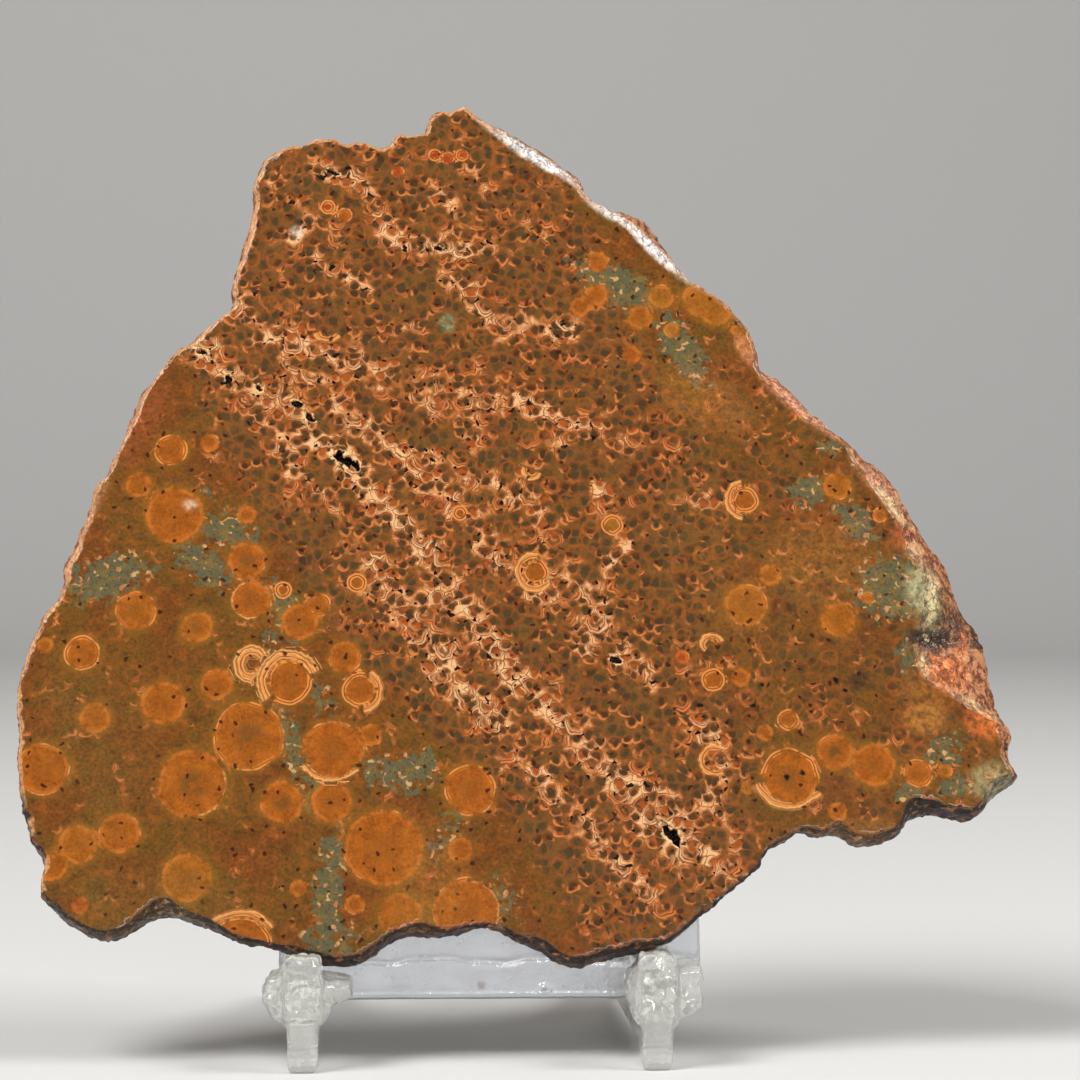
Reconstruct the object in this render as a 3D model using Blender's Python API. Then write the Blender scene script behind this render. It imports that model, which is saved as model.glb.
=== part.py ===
"""Birds eye rhyolite slab, leaning on a small clear plastic display stand.

The slab is one flat piece of stone with a sawn, polished face towards -Y and a natural,
broken rim.  The stand is two moulded legs joined by a slotted back plate.  Metres, +Z up,
standing on z = 0, with the origin under the middle of the whole object.
"""
import math

import bmesh
import bpy
from mathutils import Vector, noise

MM = 0.001

# Driving sizes of the stone
SLAB_WIDTH = 128 * MM
SLAB_THICKNESS = 6.4 * MM
LEAN = math.radians(17)
FACE_FOOT = 13.0 * MM          # height at which the plane of the face meets the y = 0 line
EDGE_POINTS = 350              # points round the edge of the slab, about one a millimetre
RAGGED = 0.16 * MM             # fine unevenness of the broken edge
RAGGED_WAVES = ((420, 1.0), (900, 0.6))     # waves a metre and their shares
BACK_SMOOTHING = 2             # how many neighbours each side even out the back edge
RIM_SLOPES = 5                 # rings between the polished face and the rim's furthest reach
SHOULDER_LEAST = 0.08          # where that reach lies, as a share of the thickness
SHOULDER_MOST = 0.86
SHOULDER_RIND = 6.5 * MM       # width of rind that would bring it right to the back
SIDE_RINGS = ((0.45, -0.15), (0.93, 0.0), (1.0, 0.35))     # share of the way back, inset in mm

# How the outline was read: a level view of the face from in front, 1080 pixels square
VIEW_MIDDLE = 540
VIEW_FOCAL = 3200              # pixels
VIEW_DISTANCE = 3.125 * SLAB_WIDTH
VIEW_HEIGHT = 65.5 * MM
VIEW_TURN = math.radians(3)    # the object's right side is turned a little away
PIXEL = VIEW_DISTANCE / VIEW_FOCAL

# The stand
GAP = 0.3 * MM                 # between pieces that touch
LEG_THICKNESS = 4.1 * MM
LEG_MIDDLES = {"left": -29.5 * MM, "right": 14.3 * MM}
LEG_FRONT = -6.0 * MM
LEG_REAR = 60.0 * MM
FOOT_LENGTH = 4.6 * MM
FOOT_NARROWING = 0.9           # width of a foot's sole beside the leg's thickness
UNDERSIDE = 2.6 * MM           # the runner's height above the table
RUNNER_TOP = 8.4 * MM
PRONG_OUTLINE = [(-2.45, 6.3), (2.45, 6.3), (2.45, 13.9), (1.7, 14.6), (-1.8, 14.6), (-2.45, 13.8)]
PRONG_PROUD = 0.25 * MM        # how far the prong stands in front of its foot
PRONG_DEPTH = 3.6 * MM
UPRIGHT_TOP = 52.0 * MM
UPRIGHT_WIDTH = 6.0 * MM
BACK_STEPS = 9                 # straight runs in the hollow curve of a leg's back
MOULDED_EDGE = 0.35 * MM
PLATE_THICKNESS = 2.2 * MM
PLATE_LEFT = -32.8 * MM
PLATE_RIGHT = 20.9 * MM
PLATE_FOOT = 7.0 * MM
PLATE_TOP = 38.0 * MM
PLATE_CORNER = 3.0 * MM

# The slab's edge as the view shows it, clockwise from its highest point, in named runs.
# Each point is (x, y, rind): rind is how far inside the edge the polished face stops.
EDGE_UPPER_RIGHT = [
    (466, 107, 4), (480, 119, 8), (503, 129, 14), (524, 142, 22), (543, 152, 22), (571, 172, 14),
    (583, 184, 10), (587, 194, 5), (609, 209, 10), (624, 212, 16), (640, 218, 24), (650, 227, 27),
    (660, 241, 22), (673, 260, 14), (687, 277, 5), (703, 288, 6), (720, 299, 5), (738, 316, 5),
    (751, 334, 5), (758, 352, 4), (759, 366, 5), (769, 376, 12), (781, 382, 16), (802, 401, 18),
    (810, 412, 18), (822, 419, 17), (832, 431, 8), (841, 437, 7),
]
EDGE_RIGHT_RIND = [
    (855, 448, 10), (864, 459, 16), (878, 466, 24), (888, 479, 28), (908, 508, 25), (922, 534, 28),
    (930, 549, 34), (941, 560, 38), (949, 573, 38), (952, 590, 38), (957, 606, 48), (968, 620, 66),
    (979, 635, 80), (985, 655, 82), (989, 676, 76), (993, 694, 56), (996, 709, 36), (1003, 719, 26),
    (1011, 732, 20), (1012, 742, 12), (1008, 755, 8), (1014, 767, 12), (1019, 778, 12),
]
EDGE_LOWER_RIGHT = [
    (1011, 785, 11), (999, 788, 10), (992, 797, 10), (984, 809, 8), (975, 816, 5), (958, 813, 4),
    (940, 810, 5), (925, 811, 11), (911, 815, 15), (903, 829, 5), (889, 838, 5), (872, 842, 6),
    (858, 841, 5), (849, 836, 3), (840, 827, 3), (834, 828, 3), (826, 834, 3), (815, 834, 3),
    (804, 831, 3), (791, 839, 3), (779, 846, 3), (767, 853, 3), (761, 866, 3), (746, 881, 3),
    (731, 893, 3), (713, 908, 3), (700, 916, 3), (690, 927, 3), (676, 938, 3),
]
EDGE_FOOT = [
    (661, 946, 4), (629, 950, 4), (600, 958, 4), (586, 962, 4), (573, 963, 4), (561, 961, 4),
    (551, 955, 7), (541, 947, 6), (527, 941, 3), (515, 939, 3), (502, 930, 3), (485, 927, 3),
    (468, 929, 3), (455, 933, 3), (444, 934, 3), (436, 934, 6), (428, 933, 9), (418, 930, 5),
    (405, 931, 3), (391, 936, 3), (381, 946, 3), (370, 952, 3), (361, 960, 4), (345, 962, 4),
    (330, 962, 4), (316, 958, 4), (300, 954, 4), (258, 945, 3), (238, 940, 3), (220, 931, 3),
    (205, 923, 4), (188, 919, 5), (174, 914, 9), (167, 911, 12), (157, 914, 12), (146, 918, 6),
    (138, 922, 4), (126, 931, 4), (111, 937, 5), (96, 936, 5), (82, 930, 4), (64, 919, 4),
    (55, 908, 4), (41, 899, 4),
]
EDGE_LEFT = [
    (40, 878, 3), (45, 867, 3), (40, 853, 4), (29, 842, 5), (28, 826, 5), (22, 806, 3),
    (17, 765, 3), (19, 742, 3), (17, 716, 3), (16, 690, 3), (22, 670, 3), (28, 651, 4),
    (35, 632, 4), (44, 614, 5), (58, 598, 4), (62, 582, 6), (62, 569, 10), (70, 554, 8),
    (76, 540, 9), (81, 526, 6), (89, 513, 4), (90, 500, 4), (94, 489, 4), (98, 480, 3),
    (106, 476, 3), (111, 465, 3), (119, 446, 3), (128, 425, 4), (133, 411, 8), (140, 395, 7),
    (154, 378, 3), (168, 358, 3), (179, 348, 4), (190, 343, 5), (202, 332, 5), (214, 321, 4),
    (227, 313, 5), (232, 303, 4), (231, 290, 4), (234, 276, 5), (240, 255, 5), (247, 234, 7),
    (250, 218, 5), (254, 204, 3), (252, 185, 5),
]
EDGE_TOP = [
    (258, 175, 4), (261, 164, 6), (268, 157, 6), (288, 146, 5), (300, 146, 4), (311, 141, 5),
    (326, 138, 6), (338, 139, 5), (346, 145, 4), (359, 141, 4), (370, 144, 4), (381, 149, 4),
    (389, 145, 5), (395, 135, 4), (408, 136, 4), (423, 133, 4), (426, 123, 6), (432, 114, 7),
    (441, 110, 6), (449, 112, 5), (457, 109, 6),
]
EDGE_RUNS = (EDGE_UPPER_RIGHT, EDGE_RIGHT_RIND, EDGE_LOWER_RIGHT, EDGE_FOOT, EDGE_LEFT, EDGE_TOP)

# Open pits along the pale seams: x, y in the view, half length and half width in mm,
# slope in degrees down to the right, depth in mm
SEAM_PITS = [
    (346, 460, 1.9, 0.75, 32, 1.5), (672, 834, 1.5, 0.75, 48, 1.4), (309, 416, 0.85, 0.4, 45, 0.9),
    (297, 404, 0.75, 0.4, 30, 0.8), (259, 388, 0.6, 0.35, 40, 0.7), (229, 378, 0.6, 0.35, 50, 0.7),
    (201, 351, 0.9, 0.4, 15, 0.8), (616, 660, 0.75, 0.4, 20, 0.7), (333, 172, 0.8, 0.35, 20, 0.7),
    (438, 248, 0.6, 0.3, 25, 0.6),
]

# Lumps (+) and hollows (-) of the wide natural rind at the right:
# x, y in the view, radius in mm, height in mm
RIND_LUMPS = [
    (926, 636, 3.4, -1.9), (948, 664, 3.0, 0.7), (975, 655, 2.2, 0.9), (930, 597, 2.6, 0.5),
    (962, 700, 2.4, -0.7), (987, 722, 2.2, 0.6), (905, 540, 2.2, 0.5), (900, 508, 2.2, -0.4),
    (655, 243, 1.6, 0.4), (540, 160, 1.6, 0.3),
]

# Stretches where the rim is cut back under the face: x, y in the view, reach and depth in mm
UNDERCUTS = [
    (728, 896, 6.0, 1.3), (750, 874, 4.0, 1.2), (776, 849, 4.0, 1.0), (802, 833, 3.0, 1.0),
    (682, 931, 4.0, 0.9), (487, 929, 4.5, 0.8), (258, 946, 5.0, 0.6),
]
PIT_RINGS = ((1.0, 0.0), (0.8, 0.65), (0.45, 1.0))     # size and depth from a pit's rim to its floor
PIT_POINTS = 12

# Front outlines of the lumpy bosses that join a leg to the back plate, in mm from the
# leg's middle line and above the table
BOSS_OUTLINES = {
    "left": [(-2.3, 5.6), (2.6, 5.6), (4.0, 8.2), (6.0, 8.7), (6.4, 9.7), (5.9, 11.4), (-2.8, 14.2),
             (-4.9, 10.8), (-5.1, 8.9), (-4.4, 7.0)],
    "right": [(-1.9, 4.8), (1.8, 4.1), (3.2, 6.1), (5.4, 7.0), (6.1, 8.1), (5.6, 9.9), (6.1, 12.0),
              (5.4, 12.9), (-3.2, 12.9), (-3.6, 8.8), (-2.9, 6.2)],
}
BOSS_FRONT = -4.8 * MM
BOSS_BACK = 4.8 * MM
BOSS_ROUNDING = 0.8 * MM


def on_face(x, y, depth=0.0):
    """Place across and up the slab that the view shows at pixel x, y, on the face or on a
    plane at some depth behind it."""
    forward = Vector((math.sin(VIEW_TURN), math.cos(VIEW_TURN), 0))
    right = Vector((math.cos(VIEW_TURN), -math.sin(VIEW_TURN), 0))
    up = Vector((0, 0, 1))
    eye = Vector((0, 0, VIEW_HEIGHT)) - forward * VIEW_DISTANCE
    ray = forward + right * (x - VIEW_MIDDLE) / VIEW_FOCAL + up * (VIEW_MIDDLE - y) / VIEW_FOCAL
    normal = Vector((0, -math.cos(LEAN), math.sin(LEAN)))
    foot = Vector((0, 0, FACE_FOOT)) - normal * depth
    hit = eye + ray * (normal.dot(foot - eye) / normal.dot(ray))
    return Vector((hit.x, (hit - foot).dot(Vector((0, math.sin(LEAN), math.cos(LEAN))))))


def curve_through(points, steps=8):
    """Closed smooth curve through points of any dimension, as a list."""
    count = len(points)
    curve = []
    for i in range(count):
        p0, p1, p2, p3 = (points[(i + k) % count] for k in (-1, 0, 1, 2))
        for s in range(steps):
            t = s / steps
            curve.append(0.5 * ((2 * p1) + (p2 - p0) * t + (2 * p0 - 5 * p1 + 4 * p2 - p3) * t * t
                                + (3 * p1 - p0 - 3 * p2 + p3) * t ** 3))
    return curve


def evenly_spaced(curve, count):
    """The same closed curve with count points at equal steps along it."""
    closed = curve + [curve[0]]
    lengths = [0.0]
    for a, b in zip(closed, closed[1:]):
        lengths.append(lengths[-1] + (b.xy - a.xy).length)
    points, k = [], 0
    for i in range(count):
        target = lengths[-1] * i / count
        while lengths[k + 1] < target:
            k += 1
        share = (target - lengths[k]) / (lengths[k + 1] - lengths[k])
        points.append(closed[k].lerp(closed[k + 1], share))
    return points


def evened_out(values, reach):
    """Each value replaced by a bell-weighted mean of its neighbours round the loop."""
    count = len(values)
    weights = [math.exp(-2 * (k / reach) ** 2) for k in range(-reach, reach + 1)]
    total = sum(weights)
    zero = values[0] * 0
    return [sum((values[(i + k) % count] * w for k, w in zip(range(-reach, reach + 1), weights)),
                zero) / total for i in range(count)]


def inward_normals(points, reach):
    """Directions into a clockwise loop, even enough to inset it without crossings."""
    count = len(points)
    rough = []
    for i in range(count):
        along = points[(i + 1) % count] - points[i - 1]
        rough.append(Vector((along.y, -along.x)).normalized())
    return [n.normalized() for n in evened_out(rough, reach)]


def shoulder_depth(rind):
    """Depth behind the face at which the rim reaches furthest out."""
    return SLAB_THICKNESS * min(SHOULDER_MOST, SHOULDER_LEAST + rind / SHOULDER_RIND)


def slab_edge():
    """The slab's edge: points across and up the face, and the rind's width at each."""
    read = []
    for run in EDGE_RUNS:
        for x, y, rind in run:
            place = on_face(x, y, shoulder_depth(rind * PIXEL))
            read.append(Vector((place.x, place.y, rind * PIXEL)))
    points = evenly_spaced(curve_through(read), EDGE_POINTS)
    edge = [p.xy for p in points]
    rinds = [max(p.z, 0.2 * MM) for p in points]
    inward = inward_normals(edge, 3)
    for i, p in enumerate(edge):
        wave = sum(share * noise.noise(p.to_3d() * waves) for waves, share in RAGGED_WAVES)
        edge[i] = p + inward[i] * wave * RAGGED
    return edge, evened_out(rinds, 2)


def lump_height(place):
    """Height of the rind's named lumps and hollows at a point of the face's plane."""
    height = 0.0
    for x, y, radius, rise in RIND_LUMPS:
        distance = (place - on_face(x, y)).length / (radius * MM)
        height += rise * MM * math.exp(-1.5 * distance ** 2)
    return height


def undercut(place):
    """How far the rim is cut back under the face near a point of its edge."""
    return sum(depth * MM * math.exp(-1.5 * ((place - on_face(x, y)).length / (reach * MM)) ** 2)
               for x, y, reach, depth in UNDERCUTS)


def rim_rings(edge, rinds):
    """Rings of points from the polished face's edge round the rim to the back face's edge."""
    inward = inward_normals(edge, 8)
    back_edge = evened_out(edge, BACK_SMOOTHING)
    rings = [[] for _ in range(RIM_SLOPES + 1 + len(SIDE_RINGS))]
    for i, place in enumerate(edge):
        rind = rinds[i]
        shoulder = shoulder_depth(rind)
        rough = min(0.3 * rind, 0.8 * MM)
        for k in range(RIM_SLOPES + 1):
            share = k / RIM_SLOPES
            point = place + inward[i] * rind * (1 - share)
            depth = shoulder * (0.45 * share + 0.55 * share ** 2)
            if k:
                wave = noise.noise(point.to_3d() * 260)
                depth -= (wave * rough + lump_height(point)) * math.sin(math.pi * min(share, 0.8))
                depth = min(max(depth, 0.1 * MM * k), SLAB_THICKNESS * 0.9)
            rings[k].append(Vector((point.x, depth, point.y)))
        last = rings[RIM_SLOPES][i].y
        swell = noise.noise(Vector((place.x, place.y, 0.03)) * 300) * 0.4 * MM
        for k, (share, inset) in enumerate(SIDE_RINGS):
            depth = last + (SLAB_THICKNESS - last) * share
            cut = inset * MM + undercut(place) * share - swell * (share < 0.9)
            point = place.lerp(back_edge[i], share) + inward[i] * cut
            rings[RIM_SLOPES + 1 + k].append(Vector((point.x, depth, point.y)))
    return rings


def pit_rings(pit):
    """Rim, wall and floor rings of one open pit in the face."""
    x, y, half_length, half_width, slope, depth = pit
    middle = on_face(x, y)
    turn = -math.radians(slope)
    rings = []
    for size, sink in PIT_RINGS:
        ring = []
        for i in range(PIT_POINTS):
            angle = 2 * math.pi * i / PIT_POINTS
            wave = 1 + 0.22 * noise.noise(Vector((math.cos(angle) * 2 + x, math.sin(angle) * 2, y)))
            across = half_length * MM * size * wave * math.cos(angle)
            up = half_width * MM * size * wave * math.sin(angle)
            ring.append(Vector((middle.x + across * math.cos(turn) - up * math.sin(turn),
                                depth * MM * sink,
                                middle.y + across * math.sin(turn) + up * math.cos(turn))))
        rings.append(ring)
    return rings


def bridge(bm, ring_a, ring_b):
    count = len(ring_a)
    for i in range(count):
        j = (i + 1) % count
        bm.faces.new((ring_a[i], ring_a[j], ring_b[j], ring_b[i]))


def loop_edges(bm, ring):
    edges = []
    for i, vert in enumerate(ring):
        after = ring[(i + 1) % len(ring)]
        edges.append(bm.edges.get((vert, after)) or bm.edges.new((vert, after)))
    return edges


def make_object(name, bm, colour, roughness, transmission=0.0):
    """Object from a bmesh, with a plain surface of its own."""
    bmesh.ops.recalc_face_normals(bm, faces=bm.faces)
    mesh = bpy.data.meshes.new(name)
    bm.to_mesh(mesh)
    bm.free()
    obj = bpy.data.objects.new(name, mesh)
    bpy.context.collection.objects.link(obj)
    material = bpy.data.materials.new(name)
    material.use_nodes = True
    surface = material.node_tree.nodes["Principled BSDF"]
    surface.inputs["Base Color"].default_value = (*colour, 1)
    surface.inputs["Roughness"].default_value = roughness
    surface.inputs["Metallic"].default_value = 0.0
    surface.inputs["Transmission Weight"].default_value = transmission
    mesh.materials.append(material)
    return obj


def make_slab():
    """The stone: flat polished face with pits, natural rim, flat sawn back."""
    edge, rinds = slab_edge()
    bm = bmesh.new()
    rings = [[bm.verts.new(p) for p in ring] for ring in rim_rings(edge, rinds)]
    for ring_a, ring_b in zip(rings, rings[1:]):
        bridge(bm, ring_a, ring_b)
    face_edges = loop_edges(bm, rings[0])
    for pit in SEAM_PITS:
        pit_loops = [[bm.verts.new(p) for p in ring] for ring in pit_rings(pit)]
        for ring_a, ring_b in zip(pit_loops, pit_loops[1:]):
            bridge(bm, ring_a, ring_b)
        bm.faces.new(pit_loops[-1])
        face_edges += loop_edges(bm, pit_loops[0])
    bmesh.ops.triangle_fill(bm, use_beauty=True, use_dissolve=False, edges=face_edges)
    bmesh.ops.triangle_fill(bm, use_beauty=True, use_dissolve=False, edges=loop_edges(bm, rings[-1]))
    slab = make_object("rhyolite_slab", bm, (0.33, 0.14, 0.05), 0.25)
    slab.location = (0, 0, FACE_FOOT)
    slab.rotation_euler = (-LEAN, 0, 0)
    return slab


def behind_face(height, offset):
    """How far back a plane parallel to the face, offset behind it, lies at a height."""
    return (height - FACE_FOOT) * math.tan(LEAN) + offset / math.cos(LEAN)


def slab_underside(slab, middle, half_width):
    """Lowest height of the slab's edge above a stretch of the stand."""
    bpy.context.view_layer.update()
    heights = []
    for vert in slab.data.vertices:
        place = slab.matrix_world @ vert.co
        if abs(place.x - middle) < half_width:
            heights.append(place.z)
    return min(heights)


def extruded(points, axis, start, end):
    """Closed bmesh from a flat outline: axis 0 pushes a (y, z) outline along X, axis 1 an
    (x, z) outline along Y."""
    bm = bmesh.new()
    places = {0: lambda p: (start, p[0], p[1]), 1: lambda p: (p[0], start, p[1])}
    face = bm.faces.new([bm.verts.new(places[axis](p)) for p in points])
    push = Vector((0, 0, 0))
    push[axis] = end - start
    pushed = bmesh.ops.extrude_face_region(bm, geom=[face])
    bmesh.ops.translate(bm, verts=[v for v in pushed["geom"] if isinstance(v, bmesh.types.BMVert)],
                        vec=push)
    return bm


def add_bevel(obj, width, segments):
    bevel = obj.modifiers.new("rounded edges", "BEVEL")
    bevel.width = width
    bevel.segments = segments
    bevel.limit_method = "ANGLE"
    bevel.angle_limit = math.radians(35)


def leg_outline(ledge):
    """Side view of a leg: front foot, ledge, upright, hollow back, rear foot."""
    upright_offset = SLAB_THICKNESS + PLATE_THICKNESS + 2 * GAP
    upright_foot = behind_face(ledge, upright_offset)
    upright_front = behind_face(UPRIGHT_TOP, upright_offset)
    ledge_front = LEG_FRONT + PRONG_DEPTH * 0.7
    outline = [
        (LEG_FRONT, 0), (LEG_FRONT, RUNNER_TOP), (ledge_front, RUNNER_TOP), (ledge_front, ledge),
        (upright_foot, ledge), (upright_front, UPRIGHT_TOP),
        (upright_front + UPRIGHT_WIDTH * 0.8, UPRIGHT_TOP),
    ]
    start = Vector((upright_front + UPRIGHT_WIDTH, UPRIGHT_TOP - 1.5 * MM))
    bend = Vector((upright_foot + UPRIGHT_WIDTH + 6 * MM, RUNNER_TOP + 3 * MM))
    end = Vector((LEG_REAR - 1.5 * MM, RUNNER_TOP - 1.5 * MM))
    for i in range(BACK_STEPS + 1):
        t = i / BACK_STEPS
        point = start * (1 - t) ** 2 + bend * 2 * t * (1 - t) + end * t * t
        outline.append(tuple(point))
    outline += [
        (LEG_REAR, RUNNER_TOP - 3.2 * MM), (LEG_REAR, 0), (LEG_REAR - FOOT_LENGTH, 0),
        (LEG_REAR - FOOT_LENGTH - 0.4 * MM, UNDERSIDE - 0.9 * MM),
        (LEG_REAR - FOOT_LENGTH - 1.5 * MM, UNDERSIDE),
        (LEG_FRONT + FOOT_LENGTH + 1.5 * MM, UNDERSIDE),
        (LEG_FRONT + FOOT_LENGTH + 0.4 * MM, UNDERSIDE - 0.9 * MM),
        (LEG_FRONT + FOOT_LENGTH, 0),
    ]
    return outline


def add_fused(leg, name, outline, front, back, rounding, segments):
    """A moulded block, given by its front outline in mm, fused to a leg."""
    shape = extruded([(x * MM, z * MM) for x, z in outline], 1, front, back)
    block = make_object(name, shape, (0.85, 0.86, 0.84), 0.2, 0.9)
    block.location = leg.location
    block.hide_render = True
    block.display_type = "WIRE"
    add_bevel(block, rounding, segments)
    union = leg.modifiers.new(name, "BOOLEAN")
    union.operation = "UNION"
    union.solver = "MANIFOLD"
    union.object = block
    return block


def make_leg(side, slab):
    """One moulded leg with its prong and the lumpy boss in front of the back plate."""
    middle = LEG_MIDDLES[side]
    half = LEG_THICKNESS / 2
    ledge = slab_underside(slab, middle, half + 0.3 * MM) - GAP
    shape = extruded(leg_outline(ledge), 0, -half, half)
    for vert in shape.verts:
        if vert.co.z < UNDERSIDE - 0.2 * MM:
            vert.co.x *= FOOT_NARROWING + (1 - FOOT_NARROWING) * max(vert.co.z, 0) / UNDERSIDE
    leg = make_object(side + "_leg", shape, (0.80, 0.82, 0.74), 0.12, 0.9)
    leg.location = (middle, 0, 0)
    add_bevel(leg, MOULDED_EDGE, 1)
    boss = add_fused(leg, side + "_boss", BOSS_OUTLINES[side], BOSS_FRONT, BOSS_BACK,
                     BOSS_ROUNDING, 2)
    for vert in boss.data.vertices:
        above = slab_underside(slab, middle + vert.co.x, 1.6 * MM) - GAP
        vert.co.z = min(vert.co.z, above - 0.1 * MM)
    prong_front = LEG_FRONT - PRONG_PROUD
    prong = add_fused(leg, side + "_prong", PRONG_OUTLINE, prong_front, prong_front + PRONG_DEPTH,
                      MOULDED_EDGE, 1)
    return leg, boss, prong, ledge


def make_plate(ledges):
    """The back plate: a flat strip behind the slab, slotted from below over both legs."""
    start = SLAB_THICKNESS + GAP
    end = start + PLATE_THICKNESS

    def up_face(height):
        return (height - FACE_FOOT) / math.cos(LEAN) + end * math.tan(LEAN)

    foot, top = up_face(PLATE_FOOT), up_face(PLATE_TOP)
    half = LEG_THICKNESS / 2 + GAP
    outline = [(PLATE_LEFT, foot)]
    for side in ("left", "right"):
        middle = LEG_MIDDLES[side]
        slot_top = up_face(ledges[side]) + GAP
        outline += [(middle - half, foot), (middle - half, slot_top),
                    (middle + half, slot_top), (middle + half, foot)]
    outline.append((PLATE_RIGHT, foot))
    for middle, first in ((PLATE_RIGHT - PLATE_CORNER, 0), (PLATE_LEFT + PLATE_CORNER, 90)):
        for step in range(5):
            angle = math.radians(first + step * 22.5)
            outline.append((middle + PLATE_CORNER * math.cos(angle),
                            top - PLATE_CORNER + PLATE_CORNER * math.sin(angle)))
    plate = make_object("back_plate", extruded(outline, 1, start, end),
                        (0.80, 0.82, 0.86), 0.15, 0.9)
    plate.location = (0, 0, FACE_FOOT)
    plate.rotation_euler = (-LEAN, 0, 0)
    add_bevel(plate, 0.2 * MM, 1)
    return plate


def stand_on_origin(pieces):
    """Carries every piece on one empty, with the whole object's middle over the origin."""
    bpy.context.view_layer.update()
    shapes = bpy.context.evaluated_depsgraph_get()
    corners = []
    for piece in pieces:
        if not piece.hide_render:
            shape = piece.evaluated_get(shapes)
            corners += [shape.matrix_world @ vert.co for vert in shape.data.vertices]
    middle = [(min(c[axis] for c in corners) + max(c[axis] for c in corners)) / 2 for axis in (0, 1)]
    carrier = bpy.data.objects.new("carrier", None)
    bpy.context.collection.objects.link(carrier)
    for piece in pieces:
        piece.parent = carrier
    carrier.location = (-middle[0], -middle[1], -min(c.z for c in corners))


def main():
    for obj in list(bpy.data.objects):
        bpy.data.objects.remove(obj, do_unlink=True)
    slab = make_slab()
    pieces = [slab]
    ledges = {}
    for side in ("left", "right"):
        leg, boss, prong, ledges[side] = make_leg(side, slab)
        pieces += [leg, boss, prong]
    pieces.append(make_plate(ledges))
    stand_on_origin(pieces)


main()
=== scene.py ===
"""Looks of a birds eye rhyolite slab on its clear plastic stand.

The stone is remade as one fine mesh: a polished face with open pits, a natural broken rim and a
sawn back.  The legs and the back plate are remade as moulded, bubbly plastic.  The stone's
markings are worked out in its material, steered by soft masks that are measured on the mesh from
listed shapes: eyes, arcs, seams, grey-green patches, kinds of rind and dark dots.  Some of these
are painted light: shade in pits, vugs, hollows and under the rim, and glints and highlights on
the rind and the upper edges.
"""
import math

import bmesh
import bpy
import numpy as np
from mathutils import Matrix, Vector, bvhtree, geometry, kdtree, noise


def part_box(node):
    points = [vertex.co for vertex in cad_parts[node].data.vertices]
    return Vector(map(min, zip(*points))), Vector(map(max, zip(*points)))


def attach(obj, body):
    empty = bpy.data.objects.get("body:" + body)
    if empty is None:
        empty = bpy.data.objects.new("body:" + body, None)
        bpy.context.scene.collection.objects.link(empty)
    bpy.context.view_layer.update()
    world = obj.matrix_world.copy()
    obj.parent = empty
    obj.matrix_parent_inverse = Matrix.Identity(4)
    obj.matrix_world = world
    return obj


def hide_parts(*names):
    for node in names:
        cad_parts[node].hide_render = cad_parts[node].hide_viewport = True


bl_info = {
    "name": "Rhyolite slab on a plastic stand",
    "version": (1, 0, 0),
    "blender": (4, 5, 0),
    "location": "3D View > Sidebar > Stone",
    "description": "Builds a birds eye rhyolite slab, its clear stand and a plain pale studio",
    "category": "Object",
}

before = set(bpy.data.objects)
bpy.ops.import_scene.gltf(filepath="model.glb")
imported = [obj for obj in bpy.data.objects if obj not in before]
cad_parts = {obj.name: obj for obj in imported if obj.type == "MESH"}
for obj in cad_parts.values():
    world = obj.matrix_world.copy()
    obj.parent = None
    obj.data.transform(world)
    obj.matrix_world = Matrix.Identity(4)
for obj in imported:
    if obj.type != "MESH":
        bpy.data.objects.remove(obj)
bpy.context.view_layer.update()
MM = 0.001

# The stone in the frame, in mm
LEAN = math.radians(17)
FACE_FOOT = 13.0               # height of the face's plane at the view's middle line
THICKNESS = 6.4
PLATE_LEFT = -32.8             # the plate's left end from that line
LEG_FOREMOST = -6.25           # the front of the legs from that line

# The meshes
IN_PLANE = 0.005               # mm, how near the face or the back a point counts as in it
ROW_STEP = 0.866               # of a row's spacing, for triangles with even sides
PIT_MARGIN = 1.35              # how far the finest mesh reaches, in pit sizes

# The level, square view that the markings were read in
VIEW_PIXELS = 1080
VIEW_MIDDLE = VIEW_PIXELS / 2
VIEW_FOCAL = 3200              # pixels
VIEW_DISTANCE = 400            # mm
VIEW_HEIGHT = 65.5             # mm
VIEW_TURN = math.radians(3)
VIEW_FORWARD = Vector((math.sin(VIEW_TURN), math.cos(VIEW_TURN), 0))
VIEW_EYE = Vector((0, 0, VIEW_HEIGHT)) - VIEW_FORWARD * VIEW_DISTANCE
PIXEL = VIEW_DISTANCE / VIEW_FOCAL

MIDDLE_LINE = Vector((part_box("back_plate")[0].x - PLATE_LEFT * MM,
                      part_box("left_leg")[0].y - LEG_FOREMOST * MM, 0))
SLAB_AXES = (Matrix.Translation(MIDDLE_LINE + Vector((0, 0, FACE_FOOT * MM)))
             @ Matrix.Rotation(-LEAN, 4, "X") @ Matrix.Scale(MM, 4))

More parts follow.
